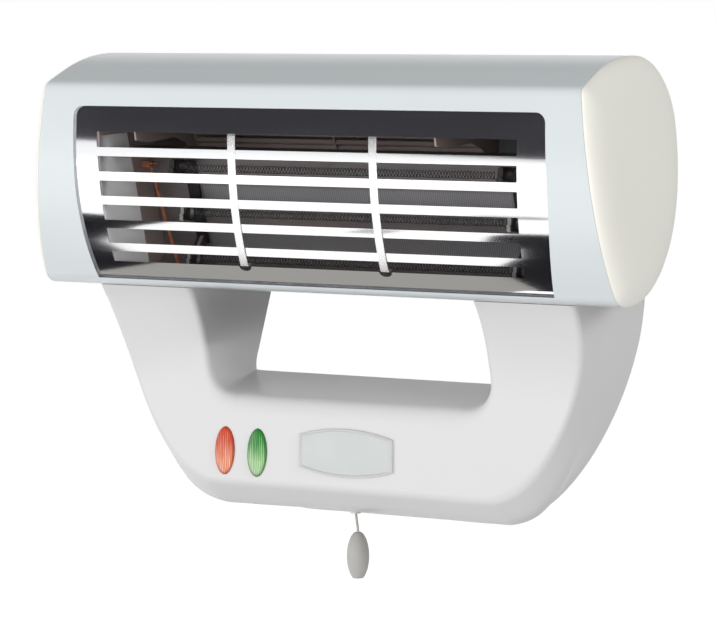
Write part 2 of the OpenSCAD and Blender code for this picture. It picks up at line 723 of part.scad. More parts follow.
function placed(q, st, k) = let (e = unit(st[1] - st[0]), n = left_of(e),
    lean = q[0] < norm(st[1] - st[0]) / 2 ? (st[2] - st[0]) * n : (st[3] - st[1]) * n,
    at = st[0] + e * q[0] + n * lean * max(0, 1 + q[1] / face_d))
    [at[0], q[1], k == 0 ? min(under_head(q[1]), leg_top) : at[1]];
function channel_ring(k) = let (st = stations[k], p = profile(st, k))
    [for (q = concat(p, reverse(hollow(p)))) placed(q, st, k)];
function flip(ring) = [for (q = ring) [-q[0], q[1], q[2]]];
half_rings = [for (k = [0:len(stations) - 1]) channel_ring(k)];
channel_rings = concat(half_rings, [for (k = [len(stations) - 2:-1:0]) flip(half_rings[k])]);

module channel() {
    n = len(channel_rings[0]);
    last = len(channel_rings) - 1;
    points = [for (r = channel_rings) each r];
    sides = [for (k = [0:last - 1], i = [0:n - 1]) let (a = k * n + i, b = k * n + (i + 1) % n)
        each [[a, b, a + n], [b, b + n, a + n]]];
    tops = [for (i = [0:n / 2 - 2]) let (j = n - 1 - i)
        each [[i, j, i + 1], [j, j - 1, i + 1], [last * n + i, last * n + i + 1, last * n + j],
            [last * n + j, last * n + i + 1, last * n + j - 1]]];
    polyhedron(points, concat(sides, tops));
}

function ellipse(w, h) = [for (a = [0:9:351]) [w / 2 * cos(a), h / 2 * sin(a)]];
lens_lean = -3;
lens_gap = 0.2;
front_face = -face_d;
bush_d = 8;
bush_low = -body_low + bottom_rise * cord_y / face_d - 5;
bush_seat = -body_low + bottom_rise * (cord_y + 6) / face_d + body_t * 1.08 + 0.1;

module lens_place(x) {
    translate([x, 0, -lens_low]) rotate([0, -lens_lean, 0]) children();
}

module lower_housing() {
    color(warm_white) difference() {
        channel();
        for (x = [-lens_red_x, -lens_green_x]) lens_place(x) along_y(front_face - 5, front_face + 10)
            polygon(ellipse(lens_w + 2 * lens_gap, lens_h + 2 * lens_gap));
        translate([-cord_x, -cord_y, -body_low - 5]) cylinder(d = bush_d + 0.2, h = 40);
    }
}

// ---- Wall plate ----
plate_inset = body_t + 1.2;
beyond_middle = 10;
function to_left(q) = [-beyond_middle, q[1]];
last_station = stations[len(stations) - 1];
plate_ring = inset(concat([to_left(last_station[2])], [for (k = [len(stations) - 1:-1:0]) stations[k][2]],
    [for (st = stations) st[3]], [to_left(last_station[3])]), plate_inset);
bar_low = leg_top + 1;
bar_high = head_screw_z + 10;
pad_d = 12;

module wall_plate() {
    color(steel) difference() {
        union() {
            along_y(-plate_t, 0) {
                mirrored_2d() intersection() {
                    polygon(plate_ring);
                    translate([-1, -body_low]) square([leg_x + 10, body_low + leg_top]);
                }
                translate([-leg_x + 5, bar_low]) square([2 * leg_x - 10, bar_high - bar_low]);
                mirrored_2d() translate([opening_x, leg_top - 30]) square([leg_x - 5 - opening_x, 40]);
            }
            for (x = [-head_screw_x, head_screw_x]) translate([x, 0, head_screw_z])
                rod_y(-wall_gap, -plate_t + 0.1, pad_d);
        }
        for (x = [-1, 1], z = [-1, 1]) translate([x * wall_screws_x / 2, 0, z * wall_screws_z / 2])
            rod_y(-plate_t - 1, 1, wall_hole_d);
        for (x = [-head_screw_x, head_screw_x]) translate([x, 0, head_screw_z])
            rod_y(-wall_gap - 1, 1, head_screw_d + 0.1);
        translate([inlet_x, 0, inlet_z]) rod_y(-plate_t - 1, 1, inlet_d);
    }
}

module mirrored_2d() {
    children();
    mirror([1, 0]) children();
}

module head_screws() {
    seat = -wall_gap - shell_t - 0.6;
    color(steel) for (x = [-head_screw_x, head_screw_x]) translate([x, 0, head_screw_z]) difference() {
        union() {
            rod_y(seat - 2.6, seat, 8);
            rod_y(seat - 1, -0.3, head_screw_d);
        }
        for (turn = [0, 90]) rotate([0, turn, 0]) translate([0, seat - 2.6, 0])
            cube([4.6, 3, 0.9], center = true);
    }
}

// ---- Lamps and name plate ----
lens_dome = 3;
module lens() {
    flange = 0.6;
    function oval(w, y) = [for (q = ellipse(lens_w + w, lens_h + w)) [q[0], y, q[1]]];
    back = front_face + body_t + 1.8;
    seat = front_face + body_t + 0.2;
    rings = [oval(-4, back), oval(2 * flange, back), oval(2 * flange, seat), oval(0, seat),
        oval(0, front_face - 0.8), oval(-1.4, front_face - 1.7), oval(-4, front_face - 2.4),
        oval(-8, front_face - 2.8)];
    ring_solid([0, back, 0], rings, [0, front_face - lens_dome, 0]);
}

module lens_red() { color([0.85, 0.12, 0.08]) lens_place(-lens_red_x) lens(); }
module lens_green() { color([0.05, 0.55, 0.2]) lens_place(-lens_green_x) lens(); }

lamp_d = 9;
lamp_y = front_face + 14;
module lamp(x) {
    translate([x, lamp_y, -lens_low - 12]) union() {
        cylinder(d = lamp_d, h = 16);
        translate([0, 0, 16]) sphere(d = lamp_d);
        translate([0, 0, -5]) cylinder(d = lamp_d - 2.5, h = 6);
    }
}

module lamp_red() { color([0.9, 0.5, 0.4]) lamp(-lens_red_x); }
module lamp_green() { color([0.6, 0.9, 0.7]) lamp(-lens_green_x); }

module lamp_bracket() {
    middle = -(lens_red_x + lens_green_x) / 2;
    w = lens_red_x - lens_green_x + 16;
    z = -lens_low - 16;
    color(ivory) difference() {
        union() {
            translate([middle - w / 2, lamp_y - 7, z]) cube([w, 14, 3]);
            translate([middle - 6, lamp_y + 5, z]) cube([12, -plate_t - lamp_y - 5, 3]);
            translate([middle - 6, -plate_t - 2, z]) cube([12, 2, 12]);
        }
        for (x = [-lens_red_x, -lens_green_x]) translate([x, lamp_y, z - 1])
            cylinder(d = lamp_d - 2.3, h = 5);
    }
}

name_z = -79;
name_t = 2;
module name_plate() {
    bow = (name_h - name_end_h) / 2;
    arc_r = (name_w * name_w / 4 + bow * bow) / (2 * bow);
    function outline(d) = let (half = name_w / 2 - d, n = 8)
        concat([for (k = [0:n]) let (x = half - 2 * half * k / n)
            [x, name_h / 2 - arc_r + sqrt(arc_r * arc_r - x * x) - d]],
        [for (k = [0:n]) let (x = -half + 2 * half * k / n)
            [x, -name_h / 2 + arc_r - sqrt(arc_r * arc_r - x * x) + d]]);
    color(cream) translate([0, 0, name_z]) difference() {
        along_y(front_face - name_t, front_face - 0.05) polygon(outline(0));
        along_y(front_face - name_t - 1, front_face - name_t + 0.5) polygon(outline(2));
    }
}

// ---- Pull cord ----
switch_top = -66;
switch_low = -102;
slider_d = 6;
slider_gap = 0.05;
slider_top = switch_low + 20;
cord_top = switch_low - 6;
flange_t = 3;
pull_top = -148;
hang = [-cord_x + 2.2, -cord_y, pull_top];

module pull_switch() {
    color(ivory) translate([-cord_x, -cord_y, 0]) difference() {
        union() {
            translate([-12, -15, switch_low]) cube([24, 15 + cord_y - plate_t - 2, switch_top - switch_low]);
            translate([-20, cord_y - plate_t - 2.1, switch_low + 8]) cube([40, 2.1, 20]);
        }
        translate([0, 0, switch_low - 1]) cylinder(d = slider_d + 2 * slider_gap, h = 30);
        translate([0, 0, slider_top - flange_t - pull_travel - 1])
            cylinder(d = 12, h = pull_travel + flange_t + 4);
    }
}

module switch_slider() {
    color(black) translate([-cord_x, -cord_y, 0]) difference() {
        union() {
            translate([0, 0, cord_top - 2]) cylinder(d = slider_d, h = slider_top - cord_top + 2);
            translate([0, 0, slider_top - flange_t]) cylinder(d = 11, h = flange_t);
        }
        translate([0, 0, cord_top - 3]) cylinder(d = cord_d + 0.2, h = 7);
    }
}

module cord_bush() {
    color(ivory) translate([-cord_x, -cord_y, 0]) difference() {
        union() {
            translate([0, 0, bush_low]) cylinder(d = bush_d, h = bush_seat + 1 - bush_low);
            translate([0, 0, bush_seat]) cylinder(d = bush_d + 3.6, h = 1.8);
        }
        translate([0, 0, bush_low - 1]) cylinder(d = 4.5, h = 20);
    }
}

// The cord's own line, from the slider to inside the pull
cord_line = [[-cord_x, -cord_y, cord_top + 3], [-cord_x, -cord_y, -118], [-cord_x, -cord_y, -128],
    [-cord_x + 0.2, -cord_y, -133], [-cord_x + 0.9, -cord_y, -138.5], [-cord_x + 1.8, -cord_y, -144],
    [hang[0], hang[1], pull_top - 0.5], [hang[0], hang[1], pull_top - 5]];

module pull_cord() {
    color(cream) swept_tube(cord_line, cord_d, 8, [1, 0.3, 0.1]);
}

module pull() {
    function half_w(t) = pull_d / 2 * sqrt(max(0, 1 - pow((t - 0.52) / 0.54, 2)));
    color(warm_white) translate(hang) difference() {
        rotate_extrude() polygon(concat([[0, 0]], [for (k = [0:14]) let (t = 0.02 + 0.96 * k / 14)
            [half_w(t), -pull_l * t]], [[half_w(0.98) - 1, -pull_l], [0, -pull_l]]));
        translate([0, 0, -7]) cylinder(d = cord_d + 0.4, h = 8);
    }
}

// ---- Mains terminals ----
inlet_x = 100;
inlet_z = -92;
inlet_d = 12;
block = [46, 16, 14];
block_x = 36;
block_z = -92;
terminal_pitch = 15;

module terminal_block() {
    color(ivory) translate([block_x, -plate_t - block[1], block_z]) difference() {
        union() {
            cube([block[0], block[1], block[2]]);
            translate([0, 2, block[2]]) cube([block[0], block[1] - 2, 5]);
        }
        for (k = [0:2]) translate([block[0] / 2 + (k - 1) * terminal_pitch, 0, 0]) {
            translate([0, 6, -1]) cylinder(d = 4.4, h = block[2] + 10);
            translate([0, 0, block[2] / 2]) rod_y(-1, 6, 5);
        }
    }
}

module terminal_screws() {
    color(steel) for (k = [0:2]) translate([block_x + block[0] / 2 + (k - 1) * terminal_pitch,
        -plate_t - block[1], block_z + block[2] / 2]) difference() {
            rod_y(1, 5, 4.6);
            translate([0, 1, 0]) cube([6, 1.2, 0.9], center = true);
        }
}

module cable_clamp() {
    z = block_z - 16;
    color(ivory) difference() {
        translate([block_x + 6, -plate_t - 9, z]) cube([34, 9, 8]);
        translate([block_x + 23, -plate_t, z - 1]) cylinder(d = 8, h = 10);
        for (x = [11, 35]) translate([block_x + x, 0, z + 4]) rod_y(-plate_t - 10, -plate_t, 3.4);
    }
}

module cable_clamp_screws() {
    z = block_z - 12;
    top = -plate_t - 9.1;
    color(steel) for (x = [11, 35]) translate([block_x + x, 0, z]) difference() {
        union() {
            rod_y(top - 2, top, 6);
            rod_y(top - 1, -plate_t - 0.4, 3);
        }
        translate([0, top - 2, 0]) cube([7, 1.4, 0.9], center = true);
    }
}

module inlet_grommet() {
    color(black) translate([inlet_x, 0, inlet_z]) difference() {
        union() {
            rod_y(-plate_t - 2.5, -plate_t - 0.1, inlet_d + 4);
            rod_y(-plate_t - 1, -0.2, inlet_d - 0.2);
        }
        rod_y(-8, 1, inlet_d - 4);
    }
}

head_cover();
head_back();
end_cap_left();
end_cap_right();
grille();
grille_strap_left();
grille_strap_right();
side_strip_left();
side_strip_right();
trough_reflector();
reflector_end_left();
reflector_end_right();
tube_support_left();
tube_support_right();
quartz_tube_top();
quartz_tube_middle();
quartz_tube_bottom();
heating_coil_top();
heating_coil_middle();
heating_coil_bottom();
tube_clamps_left();
tube_clamps_right();
tube_clamp_screws();
link_wire();
link_wire_tab();
fan_rotor();
fan_shaft();
fan_scroll();
fan_bearing();
motor_core();
motor_winding();
motor_rotor();
motor_brackets();
thermal_cutout();
lower_housing();
wall_plate();
head_screws();
lens_red();
lens_green();
lamp_red();
lamp_green();
lamp_bracket();
name_plate();
pull_switch();
switch_slider();
cord_bush();
pull_cord();
pull();
terminal_block();
terminal_screws();
cable_clamp();
cable_clamp_screws();
inlet_grommet();
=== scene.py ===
"""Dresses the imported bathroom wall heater: smooth shells, chrome grille, tubes in their trough, lenses, cord."""
import math

import bmesh
import bpy
from bpy.props import FloatProperty, FloatVectorProperty, IntProperty, PointerProperty
from mathutils import Matrix, Vector


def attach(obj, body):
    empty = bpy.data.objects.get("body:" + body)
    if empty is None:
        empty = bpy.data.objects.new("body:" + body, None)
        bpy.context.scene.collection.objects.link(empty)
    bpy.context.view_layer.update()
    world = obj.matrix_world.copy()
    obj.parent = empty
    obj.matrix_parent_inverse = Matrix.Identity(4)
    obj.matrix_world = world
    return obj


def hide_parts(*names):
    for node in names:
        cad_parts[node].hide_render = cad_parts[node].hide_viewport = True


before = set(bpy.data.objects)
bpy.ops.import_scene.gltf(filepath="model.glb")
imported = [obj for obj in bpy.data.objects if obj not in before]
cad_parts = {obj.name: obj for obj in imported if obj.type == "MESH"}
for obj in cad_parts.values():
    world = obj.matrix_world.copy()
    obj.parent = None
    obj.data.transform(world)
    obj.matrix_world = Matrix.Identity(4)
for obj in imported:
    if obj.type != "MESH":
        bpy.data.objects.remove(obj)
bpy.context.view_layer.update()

bl_info = {
    "name": "Bathroom wall heater",
    "version": (1, 0, 0),
    "blender": (4, 5, 0),
    "location": "3D View > Sidebar > Heater",
    "description": "Builds the visible pieces of a tube heater with a fan head and a pull cord",
    "category": "Object",
}

MM = 0.001
ROOT = "heater"
CORD_X, CORD_Y = -26 * MM, -24 * MM  # where the pull cord leaves the housing
WINDOW_DEEP = 34 * MM  # from the front face to behind the curved cover's lowest window edge
LENS_TURN = math.radians(3)


# ---------------------------------------------------------------- sizes and colours a user would change
def length(name, description, default, low, high):
    """A size in metres, given here in millimetres."""
    return FloatProperty(name=name, description=description, default=default * MM, min=low * MM, max=high * MM,
                         subtype="DISTANCE", unit="LENGTH", precision=5)


def colour(name, description, default):
    return FloatVectorProperty(name=name, description=description, default=default, size=3, min=0.0, max=1.0,
                               subtype="COLOR")


class HeadSizes(bpy.types.PropertyGroup):
    """Sizes of the wide head."""
    depth: length("Depth", "From the front face to the back", 148, 130, 165)
    height: length("Height", "From the lowest to the highest point", 177, 160, 195)
    width_low: length("Width below", "Width at the lowest point", 487, 440, 560)
    width_high: length("Width above", "Width at the highest point", 448, 420, 540)
    low: length("Height of the lowest point", "Above the centre of the wall screws", 43, 38, 50)
    gap: length("Gap to the wall", "Between the back and the wall", 3, 2, 5)
    shell: length("Shell", "Thickness of the pressed shells", 2, 1, 3)
    dome: length("Cap dome", "How far the end caps dome outwards", 8.7, 5, 14)


class GrilleSizes(bpy.types.PropertyGroup):
    """Sizes of the window and the chrome plate in it."""
    window: length("Window width", "Width of the window in the cover", 401, 360, 420)
    window_low: length("Window below", "Lower edge above the head's lowest point", 6, 5, 9)
    window_high: length("Window above", "Upper edge above the head's lowest point", 138, 130, 142)
    plate: length("Plate", "Thickness of the chrome plate", 0.8, 0.6, 1.2)
    slots: length("Slots", "Width of the slotted field", 354, 320, 370)
    bar: length("Bar", "Height of a bar", 6.7, 5, 8)
    pitch: length("Pitch", "From bar to bar", 18.6, 17, 19.5)
    bars: IntProperty(name="Bars", description="Number of bars", default=5, min=3, max=5)
    strap: length("Strap", "Width of a vertical strap", 6.6, 4, 12)
    strap_at: length("Strap place", "Distance from the middle", 60, 30, 110)


class HeatingSizes(bpy.types.PropertyGroup):
    """Sizes of the quartz tubes and their coils."""
    tube: length("Tube", "Outer diameter of a quartz tube", 10.5, 9, 12)
    wall: length("Tube wall", "Wall of a quartz tube", 1.2, 0.8, 1.5)
    tube_length: length("Tube length", "Length of a quartz tube", 324, 300, 336)
    coil_length: length("Coil length", "Length of the coiled wire", 266, 240, 272)
    coil: length("Coil", "Diameter through the middle of the wire", 5.4, 4, 6)
    wire: length("Wire", "Diameter of the coiled wire", 0.62, 0.4, 1.2)
    curls: IntProperty(name="Curls", description="Curls that show in each coil", default=100, min=12, max=150)


class HousingSizes(bpy.types.PropertyGroup):
    """Sizes of the U-shaped housing."""
    wall: length("Wall", "Wall of the moulding", 2.5, 2, 3)
    face: length("Face", "Distance of the front face from the wall", 83, 76, 90)
    low: length("Lowest edge", "Below the centre of the wall screws", 137, 132, 145)
    rise: length("Front edge rise", "How much higher the front lower edge lies", 29, 20, 32)
    ledge: length("Ledge", "Rear lower edge of the opening, below the screws' centre", 30, 24, 36)
    ledge_drop: length("Ledge drop", "How much lower the ledge lies in front", 11, 6, 16)
    leg: length("Leg", "Outer half width under the head", 205, 196, 214)
    opening: length("Opening", "Half width between the legs", 121, 100, 126)
    leg_top: length("Leg top", "Height of the legs behind the head", 124, 104, 134)


class TrimSizes(bpy.types.PropertyGroup):
    """Sizes of the lenses, the plate and the pull."""
    lens_width: length("Lens width", "Width of an indicator lens", 17, 14, 20)
    lens_height: length("Lens height", "Height of an indicator lens", 37, 30, 38)
    red_at: length("Red lens", "Distance from the middle", 107.5, 104, 112)
    green_at: length("Green lens", "Distance from the middle", 78.5, 74, 82)
    lens_low: length("Lens height place", "Below the centre of the wall screws", 83.5, 82, 86)
    plate_width: length("Plate width", "Width of the bare plate", 81, 60, 90)
    plate_height: length("Plate height", "Height at its middle", 37, 28, 40)
    plate_end: length("Plate end", "Height at its ends", 25, 20, 30)
    cord: length("Cord", "Diameter of the cord", 2, 1.5, 2.5)
    pull: length("Pull", "Largest diameter of the pull", 17.5, 14, 20)
    pull_length: length("Pull length", "Length of the pull", 36, 30, 40)


class FinishColours(bpy.types.PropertyGroup):
    """Colours of the finishes."""
    head: colour("Head enamel", "Cool white of the pressed shells", (0.72, 0.77, 0.78))
    cap: colour("End caps", "Cream of the moulded caps", (0.96, 0.945, 0.86))
    housing: colour("Housing", "Warm white of the moulded housing", (0.74, 0.73, 0.735))
    chrome: colour("Chrome", "Colour of the plating", (0.93, 0.94, 0.95))
    red: colour("Red lens", "Colour of the red lens", (0.60, 0.065, 0.02))
    green: colour("Green lens", "Colour of the green lens", (0.02, 0.24, 0.03))
    pull: colour("Pull", "Grey of the pull", (0.49, 0.475, 0.45))
    floor: colour("Floor", "Colour of the floor", (0.93, 0.93, 0.93))


class HeaterSettings(bpy.types.PropertyGroup):
    """Everything that can be set."""
    head: PointerProperty(type=HeadSizes, name="Head")
    grille: PointerProperty(type=GrilleSizes, name="Grille")
    heating: PointerProperty(type=HeatingSizes, name="Heating")
    housing: PointerProperty(type=HousingSizes, name="Housing")
    trim: PointerProperty(type=TrimSizes, name="Trim")
    colours: PointerProperty(type=FinishColours, name="Colours")


def settings():
    return bpy.context.scene.heater


# ---------------------------------------------------------------- points and curves, in metres
def unit(v):
    size = math.hypot(*v)
    return [c / size for c in v]


def bezier(a, b, c, d, steps):
    """Points along a curve, without its last one."""
    points = []
    for i in range(steps):
        t = i / steps
        k = ((1 - t) ** 3, 3 * (1 - t) ** 2 * t, 3 * (1 - t) * t * t, t ** 3)
        points.append([sum(w * p[j] for w, p in zip(k, (a, b, c, d))) for j in (0, 1)])
    return points


def straight(a, b, steps):
    return [[a[j] + (b[j] - a[j]) * i / steps for j in range(len(a))] for i in range(steps)]


def lookup(table, x):
    """The value at x in a rising table of pairs."""
    if x <= table[0][0]:
        return table[0][1]
    for (x0, y0), (x1, y1) in zip(table, table[1:]):
        if x <= x1:
            return y0 + (y1 - y0) * (x - x0) / (x1 - x0)
    return table[-1][1]


def beside(points, distance, closed=False):
    """The line beside a line, to its left."""
    count, moved = len(points), []
    for i, p in enumerate(points):
        before = points[i - 1] if closed or i else None
        after = points[(i + 1) % count] if closed or i < count - 1 else None
        a = unit([p[0] - before[0], p[1] - before[1]]) if before else None
        b = unit([after[0] - p[0], after[1] - p[1]]) if after else None
        a, b = a or b, b or a
        left = [-a[1] - b[1], a[0] + b[0]]
        share = distance / (1 + a[0] * b[0] + a[1] * b[1])
        moved.append([p[0] + left[0] * share, p[1] + left[1] * share])
    return moved


def smooth_track(points, steps):
    """A smooth line through the points, with steps stretches between two of them."""
    track, last = [], len(points) - 1
    for i in range(last):
        p0, p1, p2, p3 = points[max(i - 1, 0)], points[i], points[i + 1], points[min(i + 2, last)]
        for k in range(steps):
            t = k / steps
            track.append([0.5 * (2 * p1[j] + (p2[j] - p0[j]) * t
                                 + (2 * p0[j] - 5 * p1[j] + 4 * p2[j] - p3[j]) * t * t
                                 + (3 * p1[j] - p0[j] - 3 * p2[j] + p3[j]) * t ** 3) for j in range(len(p1))])
    return track + [list(points[-1])]


class HeadSection:
    """The head's cross-section: distance from the wall against height, with its named stretches."""

    def __init__(self, detail=8):
        head = settings().head
        self.head = head
        seam, crease, brow, cheek = [93, 177], [24, 163.3], [10, 157.3], [2.4, 147]
        chin, low_seam, rear = [24, 10], [42, 0], [148, 126]
        top = bezier(seam, [66, 177], [44, 172], crease, 4 * detail)
        top = top[:-1] + bezier([26, 164], crease, crease, [22, 162.4], 4)
        slope = straight([22, 162.4], brow, detail)
        forehead = bezier(brow, [4.5, 155], [2.6, 152.5], cheek, 2 * detail)
        front = bezier(cheek, [-1, 115], [-1, 58], chin, 9 * detail)
        nose = bezier(chin, [27.2, 3.8], [33, 0], low_seam, 3 * detail)
        rear_low = bezier(low_seam, [90, -2], [148, 46], rear, 7 * detail)
        rear_top = bezier(rear, [149, 152], [128, 177], seam, 6 * detail)
        drawn = top + slope + forehead + front + nose + rear_low + rear_top
        self.points = [self.place(u, v) for u, v in drawn]
        self.front_start = len(top + slope + forehead)
        self.low = self.front_start + len(front) + len(nose)
        self.front_end = self.front_start + len(front)
        self.rear_count = len(rear_low)
        self.middle = [-head.depth * 0.52 - head.gap, head.low + head.height * 0.52]

    def place(self, u, v):
        """A point drawn in millimetres from the front face and the lowest point."""
        head = self.head
        return [(u / 148 - 1) * head.depth - head.gap, v / 177 * head.height + head.low]

    def inset(self, distance):
        return beside(self.points, distance, closed=True)

    def stretch(self, distance, start, end):
        inner = self.inset(distance)
        return [inner[i % len(inner)] for i in range(start, end + 1)]

    def half_width(self, z):
        head = self.head
        return (head.width_low + (head.width_high - head.width_low) * (z - head.low) / head.height) / 2


# ---------------------------------------------------------------- meshes
def new_object(name, vertices, faces, body=ROOT, sharp=38):
    """A smooth-shaded mesh whose edges steeper than sharp degrees stay crisp, riding on a body."""
    mesh = bpy.data.meshes.new(name)
    mesh.from_pydata([tuple(v) for v in vertices], [], faces)
    work = bmesh.new()
    work.from_mesh(mesh)
    bmesh.ops.remove_doubles(work, verts=work.verts, dist=1e-7)
    bmesh.ops.recalc_face_normals(work, faces=work.faces)
    work.to_mesh(mesh)
    work.free()
    obj = bpy.data.objects.new(name, mesh)
    bpy.context.scene.collection.objects.link(obj)
    smooth(obj, sharp)
    if body:
        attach(obj, body)
    return obj


def smooth(obj, sharp=38):
    obj.data.shade_smooth()
    obj.data.set_sharp_from_angle(angle=math.radians(sharp))


def rings_mesh(rings, close_ring=True, ends=True):
    """Vertices and faces of rings joined one to the next."""
    count, vertices, faces = len(rings[0]), [v for ring in rings for v in ring], []
    for k in range(len(rings) - 1):
        for i in range(count if close_ring else count - 1):
            j = (i + 1) % count
            faces.append((k * count + i, k * count + j, (k + 1) * count + j, (k + 1) * count + i))
    if ends:
        faces.append(tuple(reversed(range(count))))
        faces.append(tuple((len(rings) - 1) * count + i for i in range(count)))
    return vertices, faces


def prism_x(outline, near, far):
    """A closed outline in Y and Z, drawn along X. Its ends may slant: near and far give X at a height."""
    return rings_mesh([[(x(q[1]), q[0], q[1]) for q in outline] for x in (near, far)])


def prism_y(outline, near, far):
    return rings_mesh([[(q[0], y, q[1]) for q in outline] for y in (near, far)])


def evaluated(obj):
    """Applies the modifiers to the mesh."""
    graph = bpy.context.evaluated_depsgraph_get()
    mesh = bpy.data.meshes.new_from_object(obj.evaluated_get(graph))
    obj.modifiers.clear()
    obj.data = mesh


def cut(obj, cutters, sharp=38):
    """Takes the cutters out of obj and removes them."""
    for cutter in cutters:
        step = obj.modifiers.new("cut", "BOOLEAN")
        step.operation, step.solver, step.object = "DIFFERENCE", "EXACT", cutter
        evaluated(obj)
        bpy.data.objects.remove(cutter)
    work = bmesh.new()
    work.from_mesh(obj.data)
    bmesh.ops.remove_doubles(work, verts=work.verts, dist=2e-6)
    work.to_mesh(obj.data)
    work.free()
    smooth(obj, sharp)


def keep_inside(obj, keeper, sharp=38):
    step = obj.modifiers.new("keep", "BOOLEAN")
    step.operation, step.solver, step.object = "INTERSECT", "EXACT", keeper
    evaluated(obj)
    bpy.data.objects.remove(keeper)
    smooth(obj, sharp)


def rounded_edges(obj, width, segments=2, angle=40):
    """A small round on every crisp edge, with even normals."""
    bevel = obj.modifiers.new("edge_round", "BEVEL")
    bevel.width, bevel.segments, bevel.limit_method = width, segments, "ANGLE"
    bevel.angle_limit, bevel.harden_normals = math.radians(angle), False
    bevel.use_clamp_overlap = True
    even = obj.modifiers.new("even_normals", "WEIGHTED_NORMAL")
    even.keep_sharp, even.weight = True, 80
    return obj


def tube(name, route, diameter, body=ROOT, resolution=8):
    """A round tube along points, drawn as a curve and kept as a mesh."""
    curve = bpy.data.curves.new(name, "CURVE")
    curve.dimensions, curve.bevel_depth, curve.bevel_resolution = "3D", diameter / 2, resolution // 2
    curve.use_fill_caps = True
    spline = curve.splines.new("POLY")
    spline.points.add(len(route) - 1)
    for point, place in zip(spline.points, route):
        point.co = (*place, 1)
    line = bpy.data.objects.new(name + "_line", curve)
    bpy.context.scene.collection.objects.link(line)
    graph = bpy.context.evaluated_depsgraph_get()
    obj = bpy.data.objects.new(name, bpy.data.meshes.new_from_object(line.evaluated_get(graph)))
    bpy.data.objects.remove(line)
    bpy.data.curves.remove(curve)
    bpy.context.scene.collection.objects.link(obj)
    smooth(obj, 50)
    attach(obj, body)
    return obj


def dress(obj, material, *nodes):
    """Gives a piece its finish and hides the CAD nodes it stands for."""
    obj.data.materials.clear()
    obj.data.materials.append(material)
    if nodes:
        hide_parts(*nodes)
    return obj


# ---------------------------------------------------------------- shaders
class Socket:
    """A socket of a shader, so that sums on it can be written as Python."""

    def __init__(self, shader, link):
        self.shader, self.link = shader, link

    def _sum(self, operation, first, second=None):
        values = {0: first} if second is None else {0: first, 1: second}
        return self.shader.add("ShaderNodeMath", {"operation": operation}, values)

    def __add__(self, other):
        return self._sum("ADD", self, other)

    __radd__ = __add__

    def __sub__(self, other):
        return self._sum("SUBTRACT", self, other)

    def __rsub__(self, other):
        return self._sum("SUBTRACT", other, self)

    def __mul__(self, other):
        return self._sum("MULTIPLY", self, other)

    __rmul__ = __mul__

    def __pow__(self, other):
        return self._sum("POWER", self, other)

    def sine(self):
        return self._sum("SINE", self)

    def away_from(self, other):
        """How far it is from a value, either way."""
        return self._sum("ABSOLUTE", self - other)

    def clamped(self):
        return self.shader.add("ShaderNodeClamp", {}, {"Value": self})


class Shader:
    """The nodes of one material, or of the world."""

    def __init__(self, name, owner=None):
        self.owner = owner or bpy.data.materials.new(name)
        self.owner.use_nodes = True
        self.tree = self.owner.node_tree
        self.tree.nodes.clear()

    def add(self, kind, options, values, output=0):
        """Adds a node: its type, its own options first, and then what its sockets hold or take."""
        node = self.tree.nodes.new(kind)
        for key, option in options.items():
            if key == "stops":
                self._set_stops(node.color_ramp, option)
            else:
                setattr(node, key, option)
        for key, value in values.items():
            if isinstance(value, Socket):
                self.tree.links.new(value.link, node.inputs[key])
            else:
                node.inputs[key].default_value = value
        return Socket(self, node.outputs[output])

    @staticmethod
    def _set_stops(ramp, stops):
        while len(ramp.elements) > 1:
            ramp.elements.remove(ramp.elements[-1])
        ramp.elements[0].position, ramp.elements[0].color = stops[0][0], stops[0][1]
        for place, tone in stops[1:]:
            ramp.elements.new(place).color = tone

    def place(self):
        """Places on the piece, in metres in the part's own frame."""
        return self.add("ShaderNodeTexCoord", {}, {}, "Object")

    def noise(self, scale, detail=2.0, roughness=0.5, stretch=(1, 1, 1)):
        spread = self.add("ShaderNodeVectorMath", {"operation": "MULTIPLY"}, {0: self.place(), 1: stretch})
        return self.add("ShaderNodeTexNoise", {},
                        {"Vector": spread, "Scale": scale, "Detail": detail, "Roughness": roughness})

    def axis(self, which):
        return self.add("ShaderNodeSeparateXYZ", {}, {0: self.place()}, which)

    def blend(self, factor, one, other):
        """A colour between two colours."""
        full = [c if isinstance(c, Socket) else (*c, 1.0) for c in (one, other)]
        return self.add("ShaderNodeMix", {"data_type": "RGBA"}, {0: factor, 6: full[0], 7: full[1]}, 2)

    def tones(self, factor, stops):
        return self.add("ShaderNodeValToRGB", {"stops": [(at, (*tone, 1.0)) for at, tone in stops]}, {0: factor})

    def bump(self, height, depth, strength=1.0):
        """A normal from a height between 0 and 1 that stands depth metres high."""
        return self.add("ShaderNodeBump", {}, {"Strength": strength, "Distance": depth, "Height": height})

    def surface(self, **values):
        """The main shader, with socket names in lower case and underscores, and the output."""
        named = {key.replace("_", " ").title().replace("Ior", "IOR"): value for key, value in values.items()}
        whole = self.add("ShaderNodeBsdfPrincipled", {}, named)
        self.output(whole)
        return self.owner

    def output(self, shader, kind="ShaderNodeOutputMaterial"):
        node = self.tree.nodes.new(kind)
        self.tree.links.new(shader.link, node.inputs["Surface"])


def darker(tone, share):
    return tuple(c * share for c in tone)


FINISHES = {}


def finish(name):
    """Keeps a finish under a name, made once."""
    def keep(make):
        def made():
            if name not in FINISHES:
                FINISHES[name] = make(Shader(name))
            return FINISHES[name]
        return made
    return keep


